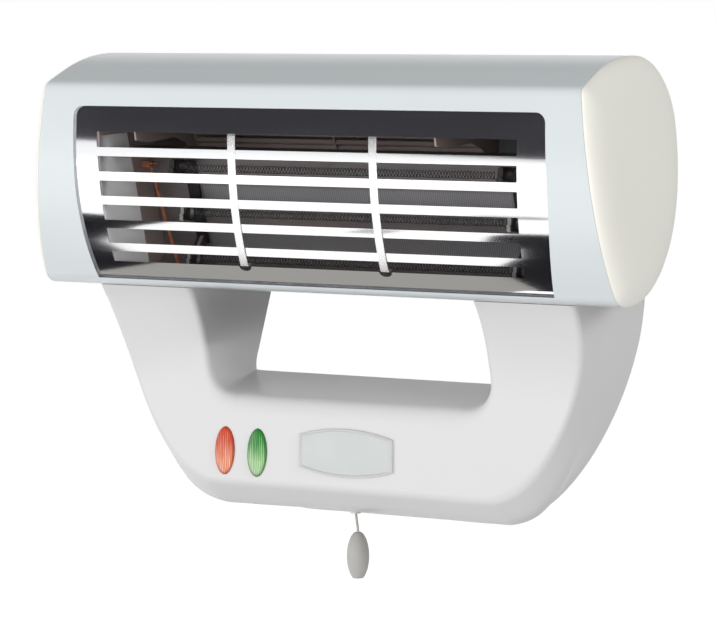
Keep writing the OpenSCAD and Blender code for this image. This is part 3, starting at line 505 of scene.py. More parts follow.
def moulded(shader, tone, roughness, grain, depth, coat=0.0, clouds=0.03, coat_roughness=0.1):
    """Moulded plastic: a fine spark-eroded grain and faint clouding."""
    cloud = shader.noise(14, 3)
    grainy = shader.noise(grain, 2, 0.6)
    return shader.surface(
        base_color=shader.blend(cloud, darker(tone, 1 - clouds), darker(tone, 1 + clouds)),
        roughness=roughness + (shader.noise(45, 3) - 0.5) * 0.1,
        normal=shader.bump(grainy, depth, 0.6),
        coat_weight=coat,
        coat_roughness=coat_roughness,
    )


@finish("head_enamel")
def head_enamel(shader):
    tone = tuple(settings().colours.head)
    cloud = shader.noise(9, 3)
    peel = shader.noise(420, 1, 0.4)
    return shader.surface(
        base_color=shader.blend(cloud, darker(tone, 0.985), darker(tone, 1.01)),
        roughness=0.34 + (shader.noise(30, 3) - 0.5) * 0.08,
        normal=shader.bump(peel, 0.00003, 0.5),
        coat_weight=0.6,
        coat_roughness=0.2,
    )


@finish("cap_plastic")
def cap_plastic(shader):
    return moulded(shader, tuple(settings().colours.cap), 0.42, 1500, 0.00002, coat=0.1, clouds=0.015)


@finish("housing_plastic")
def housing_plastic(shader):
    return moulded(shader, tuple(settings().colours.housing), 0.4, 1300, 0.00002, coat=0.12, clouds=0.012)


@finish("bright_chrome")
def bright_chrome(shader):
    """Chrome with faint smears from wiping."""
    tone = tuple(settings().colours.chrome)
    smear = shader.noise(26, 4, 0.6, (0.35, 1, 1.6))
    fine = shader.noise(900, 2, 0.5, (0.05, 1, 1))
    return shader.surface(
        base_color=shader.blend(smear, darker(tone, 0.94), tone),
        metallic=1.0,
        roughness=0.05 + (smear ** 2) * 0.1,
        normal=shader.bump(fine, 0.000004, 0.35),
    )


@finish("bar_chrome")
def bar_chrome(shader):
    """The straps' plating: the same chrome, more worn."""
    worn = shader.noise(60, 4, 0.6)
    return shader.surface(
        base_color=shader.blend(worn, (0.93, 0.93, 0.93), (0.98, 0.98, 0.98)),
        metallic=0.85,
        roughness=0.2 + worn * 0.08,
    )


@finish("trough_mirror")
def trough_mirror(shader):
    """The reflector behind the tubes: bright plate, browned by the heat and finely drawn, with painted reflections of
    the coils in two rows.
    """
    heat = shader.noise(22, 4, 0.6, (0.3, 1, 1))
    drawn = shader.noise(700, 2, 0.6, (1, 0.04, 0.04))
    across, height = shader.axis("X"), shader.axis("Z")
    ribs = (across * 3490).sine() * 0.5 + 0.5
    # two rows of fine upright threads, lighter in colour: painted reflections of the coils, with a matching bump
    band = sum((((0.0075 - height.away_from(z)) * 700).clamped() for z in (0.075, 0.112)), 0.0)
    painted_reflection_rows = band * ((0.134 - across.away_from(0)) * 900).clamped()
    plain = shader.tones(heat, [(0.3, (0.20, 0.185, 0.19)), (0.55, (0.27, 0.24, 0.235)), (0.75, (0.31, 0.24, 0.21))])
    return shader.surface(
        base_color=shader.blend(painted_reflection_rows * (0.1 + ribs * 0.8), plain, (0.38, 0.39, 0.42)),
        metallic=0.5,
        roughness=0.3 + heat * 0.15,
        normal=shader.bump(drawn * 0.3 + ribs * painted_reflection_rows * 0.7, 0.0001, 0.5),
    )


@finish("strip_mirror")
def strip_mirror(shader):
    """The trough's end strips: satin at the back, with painted shade darkening them towards the grille."""
    drawn = shader.noise(500, 2, 0.6, (1, 1, 0.03))
    cloud = shader.noise(70, 3, 0.6, (1, 1.6, 0.6))
    # painted shade: dark near the grille, lightening towards the back, with a cloudy edge
    depth = ((shader.axis("Y") + 0.149) * 26 + (cloud - 0.5) * 0.35).clamped()
    return shader.surface(
        base_color=shader.tones(depth, [(0.0, (0.12, 0.125, 0.135)), (0.16, (0.5, 0.51, 0.52)),
                                        (0.32, (0.93, 0.94, 0.94)), (1.0, (0.98, 0.98, 0.98))]),
        metallic=0.0,
        roughness=0.42 + drawn * 0.1,
        normal=shader.bump(drawn, 0.000008, 0.3),
    )


def plated_sheet(shader, tone, roughness):
    """Zinc plated steel: small crystals and rolling lines."""
    spangle = shader.add("ShaderNodeTexVoronoi", {"feature": "F1"}, {"Vector": shader.place(), "Scale": 220.0},
                         "Color")
    rolled = shader.noise(600, 2, 0.5, (0.04, 1, 1))
    mixed = shader.add("ShaderNodeSeparateColor", {}, {0: spangle}, 0)
    return shader.surface(
        base_color=shader.blend(mixed, darker(tone, 0.86), tone),
        metallic=0.9,
        roughness=roughness + mixed * 0.1,
        normal=shader.bump(rolled, 0.00001, 0.35),
    )


@finish("zinc_plate")
def zinc_plate(shader):
    return plated_sheet(shader, (0.52, 0.53, 0.55), 0.34)


@finish("bright_steel")
def bright_steel(shader):
    return plated_sheet(shader, (0.72, 0.72, 0.73), 0.2)


@finish("duct_steel")
def duct_steel(shader):
    """The fan's duct: steel browned by the heat."""
    heat = shader.noise(9, 3, 0.5, (0.4, 1, 1))
    return shader.surface(
        base_color=shader.tones(heat, [(0.3, (0.34, 0.28, 0.265)), (0.6, (0.44, 0.35, 0.32)),
                                       (0.8, (0.5, 0.37, 0.32))]),
        metallic=0.1,
        roughness=0.5 + heat * 0.1,
        normal=shader.bump(shader.noise(600, 2, 0.5, (0.04, 1, 1)), 0.00001, 0.3),
    )


@finish("black_sheet")
def black_sheet(shader):
    worn = shader.noise(60, 4, 0.6)
    return shader.surface(
        base_color=shader.tones(worn, [(0.35, (0.018, 0.018, 0.02)), (0.7, (0.05, 0.045, 0.042))]),
        metallic=0.55,
        roughness=0.46 + worn * 0.12,
        normal=shader.bump(shader.noise(800, 2), 0.00002, 0.4),
    )


@finish("quartz")
def quartz(shader):
    """Clear quartz: seen through in the middle, shining towards its edges."""
    rim = shader.add("ShaderNodeLayerWeight", {}, {"Blend": 0.35}, "Facing")
    drawn = shader.noise(60, 2, 0.5, (0.03, 1, 1))
    return shader.surface(
        base_color=(0.5, 0.52, 0.54, 1),
        roughness=0.04 + drawn * 0.04,
        alpha=(0.02 + (rim ** 5) * 0.4).clamped(),
        specular_ior_level=0.9,
        coat_weight=0.6,
        coat_roughness=0.03,
    )


@finish("coil_metal")
def coil_metal(shader):
    scale = shader.noise(300, 3, 0.6)
    return shader.surface(
        base_color=shader.tones(scale, [(0.3, (0.14, 0.13, 0.125)), (0.7, (0.26, 0.24, 0.23))]),
        metallic=0.9,
        roughness=0.16 + scale * 0.08,
    )


@finish("clamp_steel")
def clamp_steel(shader):
    """The tubes' clamps: dark, with a bright band round the two lower tubes where the clamps hold them."""
    grip = ((0.0018 - shader.axis("X").away_from(0).away_from(0.141)) * 1500).clamped()
    bright = grip * ((0.117 - shader.axis("Z")) * 500).clamped()
    scale = shader.noise(200, 3, 0.6)
    return shader.surface(
        base_color=shader.blend(bright, (0.085, 0.078, 0.075), (0.5, 0.49, 0.48)),
        metallic=0.7,
        roughness=0.3 + scale * 0.15,
        normal=shader.bump(scale, 0.00002, 0.3),
    )


@finish("wire_cover")
def wire_cover(shader):
    """The link wire's red-brown glass sleeve, woven and scorched."""
    weave = (shader.axis("Z") * 4200).sine() * 0.5 + 0.5
    scorch = shader.noise(260, 4, 0.7)
    return shader.surface(
        base_color=shader.tones(scorch, [(0.35, (0.30, 0.075, 0.035)), (0.6, (0.50, 0.16, 0.085)),
                                         (0.8, (0.58, 0.23, 0.14))]),
        roughness=0.6 + scorch * 0.15,
        normal=shader.bump(weave, 0.00008, 0.5),
    )


@finish("copper_sheet")
def copper_sheet(shader):
    return plated_sheet(shader, (0.62, 0.24, 0.13), 0.34)


@finish("winding_wire")
def winding_wire(shader):
    turns = (shader.axis("X") * 9000).sine() * 0.5 + 0.5
    return shader.surface(
        base_color=shader.blend(shader.noise(80, 3), (0.42, 0.13, 0.05), (0.56, 0.2, 0.09)),
        metallic=0.6,
        roughness=0.32 + turns * 0.1,
        normal=shader.bump(turns, 0.00012, 0.8),
    )


@finish("laminations")
def laminations(shader):
    """A stack of stamped sheets."""
    sheets = (shader.axis("X") * 9500).sine() * 0.5 + 0.5
    return shader.surface(
        base_color=shader.blend(shader.noise(70, 3), (0.16, 0.165, 0.18), (0.28, 0.285, 0.30)),
        metallic=0.8,
        roughness=0.42 + sheets * 0.12,
        normal=shader.bump(sheets, 0.0001, 0.7),
    )


@finish("ivory_plastic")
def ivory_plastic(shader):
    return moulded(shader, (0.72, 0.67, 0.53), 0.5, 900, 0.00003)


@finish("black_plastic")
def black_plastic(shader):
    return moulded(shader, (0.022, 0.022, 0.024), 0.45, 900, 0.00003, clouds=0.15)


@finish("soft_rubber")
def soft_rubber(shader):
    return moulded(shader, (0.02, 0.02, 0.02), 0.7, 600, 0.00004, clouds=0.2)


@finish("lamp_glass")
def lamp_glass(shader):
    rim = shader.add("ShaderNodeLayerWeight", {}, {"Blend": 0.4}, "Facing")
    return shader.surface(
        base_color=(0.8, 0.68, 0.5, 1),
        roughness=0.08 + shader.noise(200, 2) * 0.05,
        alpha=(0.35 + rim * 0.5).clamped(),
        coat_weight=0.5,
    )


def lens_plastic(shader, deep, pale, x_middle):
    """A clear coloured lens over upright prisms: painted highlights as bright threads in its upper half, paler below.
    """
    trim = settings().trim
    across, upright = shader.axis("X") - x_middle, shader.axis("Z") + trim.lens_low
    ribs = (across * 4000).sine() * 0.5 + 0.5
    broken = shader.noise(420, 3, 0.65, (1.2, 1, 0.1))
    # painted highlights: near-white threads on the prisms, only in the lens's upper half
    painted_glint = ((ribs * 0.6 + broken * 0.7 - 0.78) * 5).clamped() * (0.75 - upright * 30).clamped()
    below = (0.5 - upright * 70 + (broken - 0.5) * 0.5).clamped()
    spread = across * across * (4 / trim.lens_width ** 2) + upright * upright * (4 / trim.lens_height ** 2)
    rim = ((spread - 0.7) * 4).clamped()
    body = shader.blend(painted_glint * 0.85, shader.blend(below, deep, pale), (0.9, 0.85, 0.8))
    return shader.surface(
        base_color=shader.blend(rim * 0.85, body, darker(deep, 0.8)),
        roughness=0.3 + broken * 0.15,
        normal=shader.bump(ribs * 0.6 + broken * 0.4, 0.0002, 0.4),
        specular_ior_level=0.3,
    )


@finish("red_lens_plastic")
def red_lens_plastic(shader):
    return lens_plastic(shader, tuple(settings().colours.red), (0.78, 0.24, 0.12), -settings().trim.red_at)


@finish("green_lens_plastic")
def green_lens_plastic(shader):
    return lens_plastic(shader, tuple(settings().colours.green), (0.30, 0.55, 0.24), -settings().trim.green_at)


@finish("bare_plate")
def bare_plate(shader):
    """Satin plate, brushed across, with nothing printed on it."""
    brushed = shader.noise(1500, 3, 0.6, (0.02, 1, 1))
    return shader.surface(
        base_color=shader.blend(shader.noise(35, 3), (0.60, 0.63, 0.62), (0.67, 0.70, 0.68)),
        metallic=0.1,
        roughness=0.34 + brushed * 0.12,
        normal=shader.bump(brushed, 0.00001, 0.5),
    )


@finish("plate_rim")
def plate_rim(shader):
    brushed = shader.noise(900, 2, 0.5)
    return shader.surface(
        base_color=shader.blend(brushed, (0.62, 0.62, 0.61), (0.74, 0.74, 0.73)),
        metallic=0.35,
        roughness=0.36 + brushed * 0.1,
    )


@finish("braided_cord")
def braided_cord(shader):
    """A fine round braid: two threads winding against each other."""
    around = shader.axis("X") + shader.axis("Y")
    climb = shader.axis("Z") * 2600
    one = (climb + around * 2600).sine()
    other = (climb - around * 2600).sine()
    weave = (one * other) * 0.5 + 0.5
    return shader.surface(
        base_color=shader.blend(weave, (0.42, 0.40, 0.35), (0.72, 0.69, 0.62)),
        roughness=0.75 + weave * 0.1,
        normal=shader.bump(weave, 0.00025, 0.9),
        sheen_weight=0.2,
    )


@finish("pull_plastic")
def pull_plastic(shader):
    return moulded(shader, tuple(settings().colours.pull), 0.4, 900, 0.00003, coat=0.15, clouds=0.05)


@finish("studio_floor")
def studio_floor(shader):
    return shader.surface(base_color=(*settings().colours.floor, 1), roughness=0.9 + shader.noise(4, 2) * 0.05,
                          emission_color=(1, 1, 1, 1), emission_strength=0.72)


# ---------------------------------------------------------------- finishes on the CAD pieces
def dressed_nodes(material, *names):
    """Gives CAD pieces whose own shape is right their finish."""
    for name in names:
        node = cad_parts[name]
        if not node.material_slots:
            node.data.materials.append(material)
        for slot in node.material_slots:
            slot.material = material


# ---------------------------------------------------------------- shapes shared by the pieces
def sheet_mesh(outer, inner, near, far):
    """A bent sheet between two lines of equal length, drawn along X. near and far give X at a height."""
    n = len(outer)
    vertices = [(x(q[1]), q[0], q[1]) for x in (near, far) for line in (outer, inner) for q in line]
    faces = [(0, 2 * n, 3 * n, n), (n - 1, 2 * n - 1, 4 * n - 1, 3 * n - 1)]
    for i in range(n - 1):
        j = i + 1
        faces += [(i, j, 2 * n + j, 2 * n + i), (n + i, 3 * n + i, 3 * n + j, n + j),
                  (i, n + i, n + j, j), (2 * n + i, 2 * n + j, 3 * n + j, 3 * n + i)]
    return vertices, faces


def at(x):
    """An end of a piece that stands upright at x."""
    return lambda height: x


def ring(width, height, steps, power=2.0):
    """An oval about the origin. A power above two squares it up."""
    points = []
    for i in range(steps):
        a = 2 * math.pi * i / steps
        c, s = math.cos(a), math.sin(a)
        points.append([width / 2 * math.copysign(abs(c) ** (2 / power), c),
                       height / 2 * math.copysign(abs(s) ** (2 / power), s)])
    return points


def turned(name, profile, centre, steps=48, body=ROOT, sharp=38):
    """A body turned about an upright axis, from pairs of radius and height."""
    rings = [[(centre[0] + r * math.cos(2 * math.pi * i / steps), centre[1] + r * math.sin(2 * math.pi * i / steps),
               centre[2] + z) for i in range(steps)] for r, z in profile]
    return new_object(name, *rings_mesh(rings), body=body, sharp=sharp)


def cutter(outlines, near, far):
    """One body out of several outlines in X and Z, drawn along Y, to be cut away."""
    vertices, faces = [], []
    for outline in outlines:
        more, sides = prism_y(outline, near, far)
        faces += [tuple(i + len(vertices) for i in face) for face in sides]
        vertices += more
    return new_object("cutter", vertices, faces, body=None)


def shifted(outline, x, z, turn=0.0):
    c, s = math.cos(turn), math.sin(turn)
    return [[x + p[0] * c + p[1] * s, z - p[0] * s + p[1] * c] for p in outline]


def window_outline(grow=0.0):
    """The window in the cover: wider above than below, with round upper corners."""
    head, grille = settings().head, settings().grille
    half, low = grille.window / 2 + grow, head.low + grille.window_low - grow
    high, corner = head.low + grille.window_high + grow, 8 * MM
    waist = head.low + grille.window_high * 0.55
    side = smooth_track([[half - 5.5 * MM, low], [half - 1.8 * MM, (low + waist) / 2], [half, waist],
                         [half - 0.6 * MM, high - corner]], 6)[:-1]
    round_off = [[half - corner - 0.6 * MM + corner * math.cos(a * math.pi / 32),
                  high - corner + corner * math.sin(a * math.pi / 32)] for a in range(17)]
    right = side + round_off
    return right + [[-x, z] for x, z in reversed(right)]


class PlateLine:
    """Heights along the curved chrome plate, measured over its surface."""

    def __init__(self, section):
        head, grille = settings().head, settings().grille
        line = section.stretch(head.shell, section.front_start, section.front_end)
        self.by_length, run = [], 0.0
        for i, point in enumerate(line):
            run += math.dist(line[i - 1], point) if i else 0.0
            self.by_length.append((run, point[1]))
        self.by_height = [(z, s) for s, z in reversed(self.by_length)]
        self.top = head.low + 118.7 * MM * head.height / (177 * MM)
        self.low = self.height(grille.bars * grille.pitch + 8.6 * MM)

    def height(self, run):
        return lookup(self.by_length, lookup(self.by_height, self.top) + run)

    def slots(self):
        grille = settings().grille
        for k in range(grille.bars + 1):
            top = self.height(k * grille.pitch)
            low = self.height(k * grille.pitch + grille.pitch - grille.bar) if k < grille.bars else self.low
            yield top, low

    def half(self, z):
        return settings().grille.slots / 2 - 3 * MM * (self.top - z) / (self.top - self.low)


def tube_axes(section):
    return [section.place(u, v) for u, v in ((55.5, 90.2), (69.6, 55.2), (78.6, 20))]


def pipe_x(name, axis, start, stop, outer, inner, steps=40):
    """A straight pipe along X with softly melted ends."""
    soft = min((outer - inner) * 0.45, 0.0004)
    profile = [(start, inner), (start, outer - soft), (start + soft, outer), (stop - soft, outer),
               (stop, outer - soft), (stop, inner)]
    rings = [[(x, axis[0] + r * math.cos(2 * math.pi * i / steps), axis[1] + r * math.sin(2 * math.pi * i / steps))
              for i in range(steps)] for x, r in profile + profile[:1]]
    return new_object(name, *rings_mesh(rings, ends=False))


class HousingTrack:
    """The U-shaped housing: a channel swept from one leg's top, round the base, to the other leg's top.

    Four tracks in X and Z guide it: the outer and inner edges of its face, and the outer and inner edges of its
    open back at the wall.
    """
    # millimetres by which the outer side swells at each station, and its share from the wall to the face
    SWELL = (0, 0, 0, 0.5, 1.5, 4.5, 9, 14, 16, 14, 10.5, 9, 9)
    BULGE = ((0, 0), (0.16, 0.06), (0.34, 0.32), (0.5, 0.72), (0.64, 0.98), (0.75, 0.94), (0.86, 0.56), (1, 0))

    def __init__(self, section):
        s = settings()
        self.h, self.section = s.housing, section
        h, top, bend = self.h, s.head.low - 8 * MM, 24 * MM
        low, front_low = -h.low, h.rise - h.low
        ledge = -h.ledge - h.ledge_drop
        rear_out = bezier([h.leg + 2 * MM, top + 2 * MM], [h.leg - 2 * MM, -30 * MM],
                          [h.leg - 57 * MM, low + 1 * MM], [h.leg - 120 * MM, low], 9)
        front_out = bezier([h.leg - 1 * MM, top], [h.leg - 6 * MM, -35 * MM],
                           [h.leg - 44 * MM, front_low], [h.leg - 90 * MM, front_low], 9)
        front_in = [[h.opening, top + (ledge + bend - top) * k / 4] for k in range(4)]
        front_in += [[h.opening - bend + bend * math.cos(a), ledge + bend - bend * math.sin(a)]
                     for a in (k * math.pi / 8 for k in range(5))]
        rear_in = [[h.opening - 5 * MM + 14 * MM * k / 5, top + (9 * MM - h.ledge - top) * k / 5] for k in range(6)]
        rear_in += [[h.opening + 9.2 * MM, 2 * MM - h.ledge], [h.opening + 7.6 * MM, 0.3 * MM - h.ledge],
                    [h.opening - 6 * MM, -h.ledge]]
        # the same four places at the very top, behind the head
        self.leg_end = [[x, h.leg_top] for x in (h.leg - 1 * MM, h.opening, h.leg + 2 * MM, h.opening - 5 * MM)]
        tracks = [front_out, front_in, rear_out, rear_in]
        for x in (h.leg - 90 * MM, 45 * MM, 0.0):
            tracks[0].append([x, front_low])
            tracks[1].append([min(x, h.opening - bend - 6 * MM), ledge])
            tracks[2].append([min(x, h.leg - 120 * MM), low])
            tracks[3].append([min(x, h.opening - 26 * MM), -h.ledge])
        self.steps = 5
        dense = [smooth_track(track, self.steps) for track in tracks]
        self.stations = [list(four) for four in zip(*dense)]
        # the face curves back in a round cove towards the seam below the head
        reach, rise = 2.3 * MM - section.points[section.low][0] - h.face, s.head.low + 40 * MM
        self.cove = (rise * rise + reach * reach) / (2 * reach)
        self.rise = rise
        self.underside = section.points[section.low:section.low + section.rear_count + 1]
        self.swell = smooth_track([[k, v * MM] for k, v in enumerate(self.SWELL)], 5)
        self.bulge = smooth_track(self.BULGE, 5)

    def face_at(self, z):
        """How far the face stands from the wall at a height."""
        up = min(max(z + 40 * MM, 0), self.rise)
        return -self.h.face - self.cove + math.sqrt(self.cove ** 2 - up ** 2)

    def under_head(self, y):
        """The height at which a leg meets the head's underside."""
        seam = self.section.points[self.section.low]
        gap = 0.3 * MM
        return (seam[1] if y < seam[0] else lookup(self.underside, y)) - gap

    @staticmethod
    def rounded(before, corner, after, radius, steps):
        """A corner between two points, rounded."""
        a, b = unit([before[j] - corner[j] for j in (0, 1)]), unit([after[j] - corner[j] for j in (0, 1)])
        a, b = [[corner[j] + radius * v[j] for j in (0, 1)] for v in (a, b)]
        return [[(1 - t) ** 2 * a[j] + 2 * t * (1 - t) * corner[j] + t * t * b[j] for j in (0, 1)]
                for t in (i / (steps - 1) for i in range(steps))]

    def profile(self, station, along, top):
        """Across the channel: distance from the outer front corner against distance from the wall."""
        outer, inner, rear_out, rear_in = [Vector(p) for p in station]
        across = inner - outer
        wide, e = across.length, across.normalized()
        a, d = [(rear_out - outer).dot(e), 0], [(rear_in - outer).dot(e), 0]
        b, c = [0, self.face_at(outer[1])], [wide, self.face_at(inner[1])]
        # levels up the inner and the outer side, from the wall to short of the corners' rounds
        reach = 89 * MM if top else self.h.face - 19 * MM
        levels = [-4 * MM - (reach - 4 * MM) * i / 15 for i in range(16)]
        outer_reach = reach if top else self.h.face - 9 * MM
        outer_levels = [-4 * MM - (outer_reach - 4 * MM) * i / 19 for i in range(20)]
        faces = [[wide * f, self.face_at(outer[1] + e[1] * wide * f)] for f in (0.12, 0.24, 0.36, 0.48, 0.6, 0.7)]
        r = 6 * MM + min(max(along - 4, 0) * 1.4 * MM, 8 * MM)
        side_out = [[a[0] * (1 - y / b[1]) - lookup(self.swell, along) * lookup(self.bulge, y / b[1]), y]
                    for y in outer_levels]
        side_in = [[d[j] + (c[j] - d[j]) * y / c[1] for j in (0, 1)] for y in reversed(levels)]
        return ([a] + side_out + self.rounded(side_out[-1], b, faces[0], 5 * MM, 9) + faces
                + self.rounded(faces[-1], c, d, r, 13) + side_in + [d])

    def hollow(self, profile):
        """The inside of the moulding, one wall further in and open at the wall."""
        inner = beside(profile, self.h.wall)
        inner[0] = [profile[0][0] + self.h.wall, 0]
        inner[-1] = [profile[-1][0] - self.h.wall, 0]
        return inner

    def placed(self, q, station, top):
        """A point of the profile at its place: it leans with the sides, and a leg's top follows the head."""
        outer, inner, rear_out, rear_in = [Vector(p) for p in station]
        across = inner - outer
        wide, e = across.length, across.normalized()
        n = Vector((-e[1], e[0]))
        lean = (rear_out - outer).dot(n) if q[0] < wide / 2 else (rear_in - inner).dot(n)
        spot = outer + e * q[0] + n * lean * max(0, 1 + q[1] / self.h.face)
        height = min(self.under_head(q[1]), self.h.leg_top) if top else spot[1]
        return (spot[0], q[1], height)

    def channel(self, station, along, top=False):
        profile = self.profile(station, along, top)
        return [self.placed(q, station, top) for q in profile + self.hollow(profile)[::-1]]

    def rings(self):
        """Rings from the right leg's top to the left leg's top."""
        leg = self.channel(self.leg_end, 0, top=True)
        half = [self.channel(station, 1 + i / self.steps) for i, station in enumerate(self.stations)]
        between = [[tuple(a[j] + (b[j] - a[j]) * k / 4 for j in range(3)) for a, b in zip(leg, half[0])]
                   for k in range(1, 4)]
        half = [leg] + between + half
        return half + [[(-x, y, z) for x, y, z in ring_] for ring_ in reversed(half[:-1])]


# ---------------------------------------------------------------- pieces
class HEATER_OT_camera(bpy.types.Operator):
    """Puts the camera where the photograph was taken from"""
    bl_idname = "heater.camera"
    bl_label = "Camera"

    def execute(self, context):
        optics = bpy.data.cameras.new("camera")
        optics.lens, optics.sensor_width, optics.clip_end = 170.6, 36.0, 900.0
        camera = bpy.data.objects.new("camera", optics)
        context.scene.collection.objects.link(camera)
        turn, tilt = math.radians(30), math.radians(4.89)
        back = Vector((math.sin(turn) * math.cos(tilt), -math.cos(turn) * math.cos(tilt), math.sin(tilt)))
        right = Vector((math.cos(turn), math.sin(turn), 0))
        axes = Matrix((right, back.cross(right), back)).transposed().to_4x4()
        camera.matrix_world = Matrix.Translation((1.2732, -2.2705, 0.2445)) @ axes
        context.scene.camera = camera
        return {"FINISHED"}


class HEATER_OT_pull_cord(bpy.types.Operator):
    """Hangs the braided cord and its pull below the switch"""
    bl_idname = "heater.pull_cord"
    bl_label = "Pull cord"

    def execute(self, context):
        trim = settings().trim
        aside = ((0, 105), (0, 118), (0, 128), (0.2, 133), (0.9, 138.5), (1.8, 144), (2.2, 148.5), (2.2, 153))
        path = smooth_track([(CORD_X + x * MM, CORD_Y, -down * MM) for x, down in aside], 5)
        cord = tube("braided_cord", path, trim.cord, "pull_cord", 12)
        dress(cord, braided_cord(), "pull_cord")
        # the grip as pairs of radius and height: a mouth for the cord, an egg, and a dimple below
        reach, widest = trim.pull_length, trim.pull / 2
        shape = [(1.1 * MM, -5 * MM), (1.1 * MM, -0.6 * MM), (1.5 * MM, -0.1 * MM), (2.6 * MM, -0.25 * MM)]
        for k in range(41):
            t = 0.02 + 0.96 * k / 40
            shape.append((widest * math.sqrt(max(0, 1 - ((t - 0.52) / 0.54) ** 2)), -reach * t))
        end = shape[-1][0]
        shape += [(end - 0.35 * MM, -reach * 0.993), (end - 1.1 * MM, -reach), (end - 2.4 * MM, -reach + 0.4 * MM)]
        pull = turned("cord_pull_grip", shape, (CORD_X + 2.2 * MM, CORD_Y, -148 * MM), body="pull_cord")
        dress(pull, pull_plastic(), "pull")
        return {"FINISHED"}


class HEATER_OT_head_shells(bpy.types.Operator):
    """Presses the front cover, with its window, and the vented back"""
    bl_idname = "heater.head_shells"
    bl_label = "Head shells"

    def execute(self, context):
        head, section = settings().head, HeadSection(10)
        seam = 0.25 * MM
        sides = (lambda z: seam - section.half_width(z), lambda z: section.half_width(z) - seam)
        front_y = -head.depth - head.gap
        cover = new_object("front_cover", *sheet_mesh(section.stretch(0, 0, section.low),
                                                      section.stretch(head.shell, 0, section.low), *sides))
        cut(cover, [cutter([window_outline()], front_y - 0.02, front_y + WINDOW_DEEP)])
        dress(rounded_edges(cover, 0.3 * MM, 2, 50), head_enamel(), "head_cover")
        # the window's cut edges get bare zinc plate: a bare steel edge, darker than the enamel, which also stands as
        # painted shade for the gap round the window
        cover.data.materials.append(zinc_plate())
        window_top = head.low + settings().grille.window_high + 1 * MM
        window_side = settings().grille.window / 2 + 1 * MM
        for face in cover.data.polygons:
            x, y, z = face.center
            if abs(face.normal.y) < 0.35 and z < window_top and abs(x) < window_side and y < front_y + WINDOW_DEEP:
                face.material_index = 1
        whole = len(section.points)
        back = new_object("rear_shell", *sheet_mesh(section.stretch(0, section.low, whole),
                                                    section.stretch(head.shell, section.low, whole), *sides))
        vents = [shifted(ring(32 * MM, 4 * MM, 40, 8), x, section.place(0, 52 + k * 9)[1])
                 for x in (-0.06, -0.02, 0.02, 0.06) for k in range(6)]
        screw_z = section.place(0, 126)[1]
        holes = [shifted(ring(4.4 * MM, 4.4 * MM, 24), x, screw_z) for x in (-0.09, 0.09)]
        cut(back, [cutter(vents, front_y + 0.7 * head.depth, 0.001), cutter(holes, -0.02, 0.001)])
        passages = [turned("cutter", [(9 * MM, 0), (9 * MM, 40 * MM)],
                           (x, section.place(100, 0)[0], head.low - 0.005), body=None) for x in (-0.165, 0.165)]
        cut(back, passages)
        dress(rounded_edges(back, 0.4 * MM, 2, 50), head_enamel(), "head_back")
        return {"FINISHED"}


class HEATER_OT_end_caps(bpy.types.Operator):
    """Moulds the two domed end caps"""
    bl_idname = "heater.end_caps"
    bl_label = "End caps"

    def execute(self, context):
        head, section = settings().head, HeadSection(6)
        middle, inner = section.middle, head.shell + 2.4 * MM

        def level(scale, depth, out):
            ring_ = []
            for p in section.inset(depth):
                y, z = [middle[j] + scale * (p[j] - middle[j]) for j in (0, 1)]
                ring_.append((section.half_width(z) + out, y, z))
            return ring_

        def dome(scale):
            return head.dome * math.sqrt(max(0, 1 - scale ** 6))

        # the cap's inside, its skirt within the shells, its edge on them, and then the dome
        rings = [level(0.05, inner, head.dome - 2.9 * MM), level(0.5, inner, head.dome - 3 * MM),
                 level(0.85, inner, head.dome - 4.2 * MM), level(1, inner, 1.5 * MM), level(1, inner, -7 * MM),
                 level(1, head.shell, -7 * MM), level(1, head.shell, 0), level(1, 0.15 * MM, 0),
                 level(1, 0, 0.15 * MM)]
        for k in range(1, 40):
            scale = 1 - (k / 40) ** 2.6 * 0.98
            rings.append(level(scale, 0, max(dome(scale), 0.2 * MM)))
        for side, name in ((1, "right"), (-1, "left")):
            placed = [[(x * side, y, z) for x, y, z in ring_] for ring_ in rings]
            cap = new_object("domed_cap_" + name, *rings_mesh(placed), sharp=50)
            dress(cap, cap_plastic(), "end_cap_" + name)
        return {"FINISHED"}


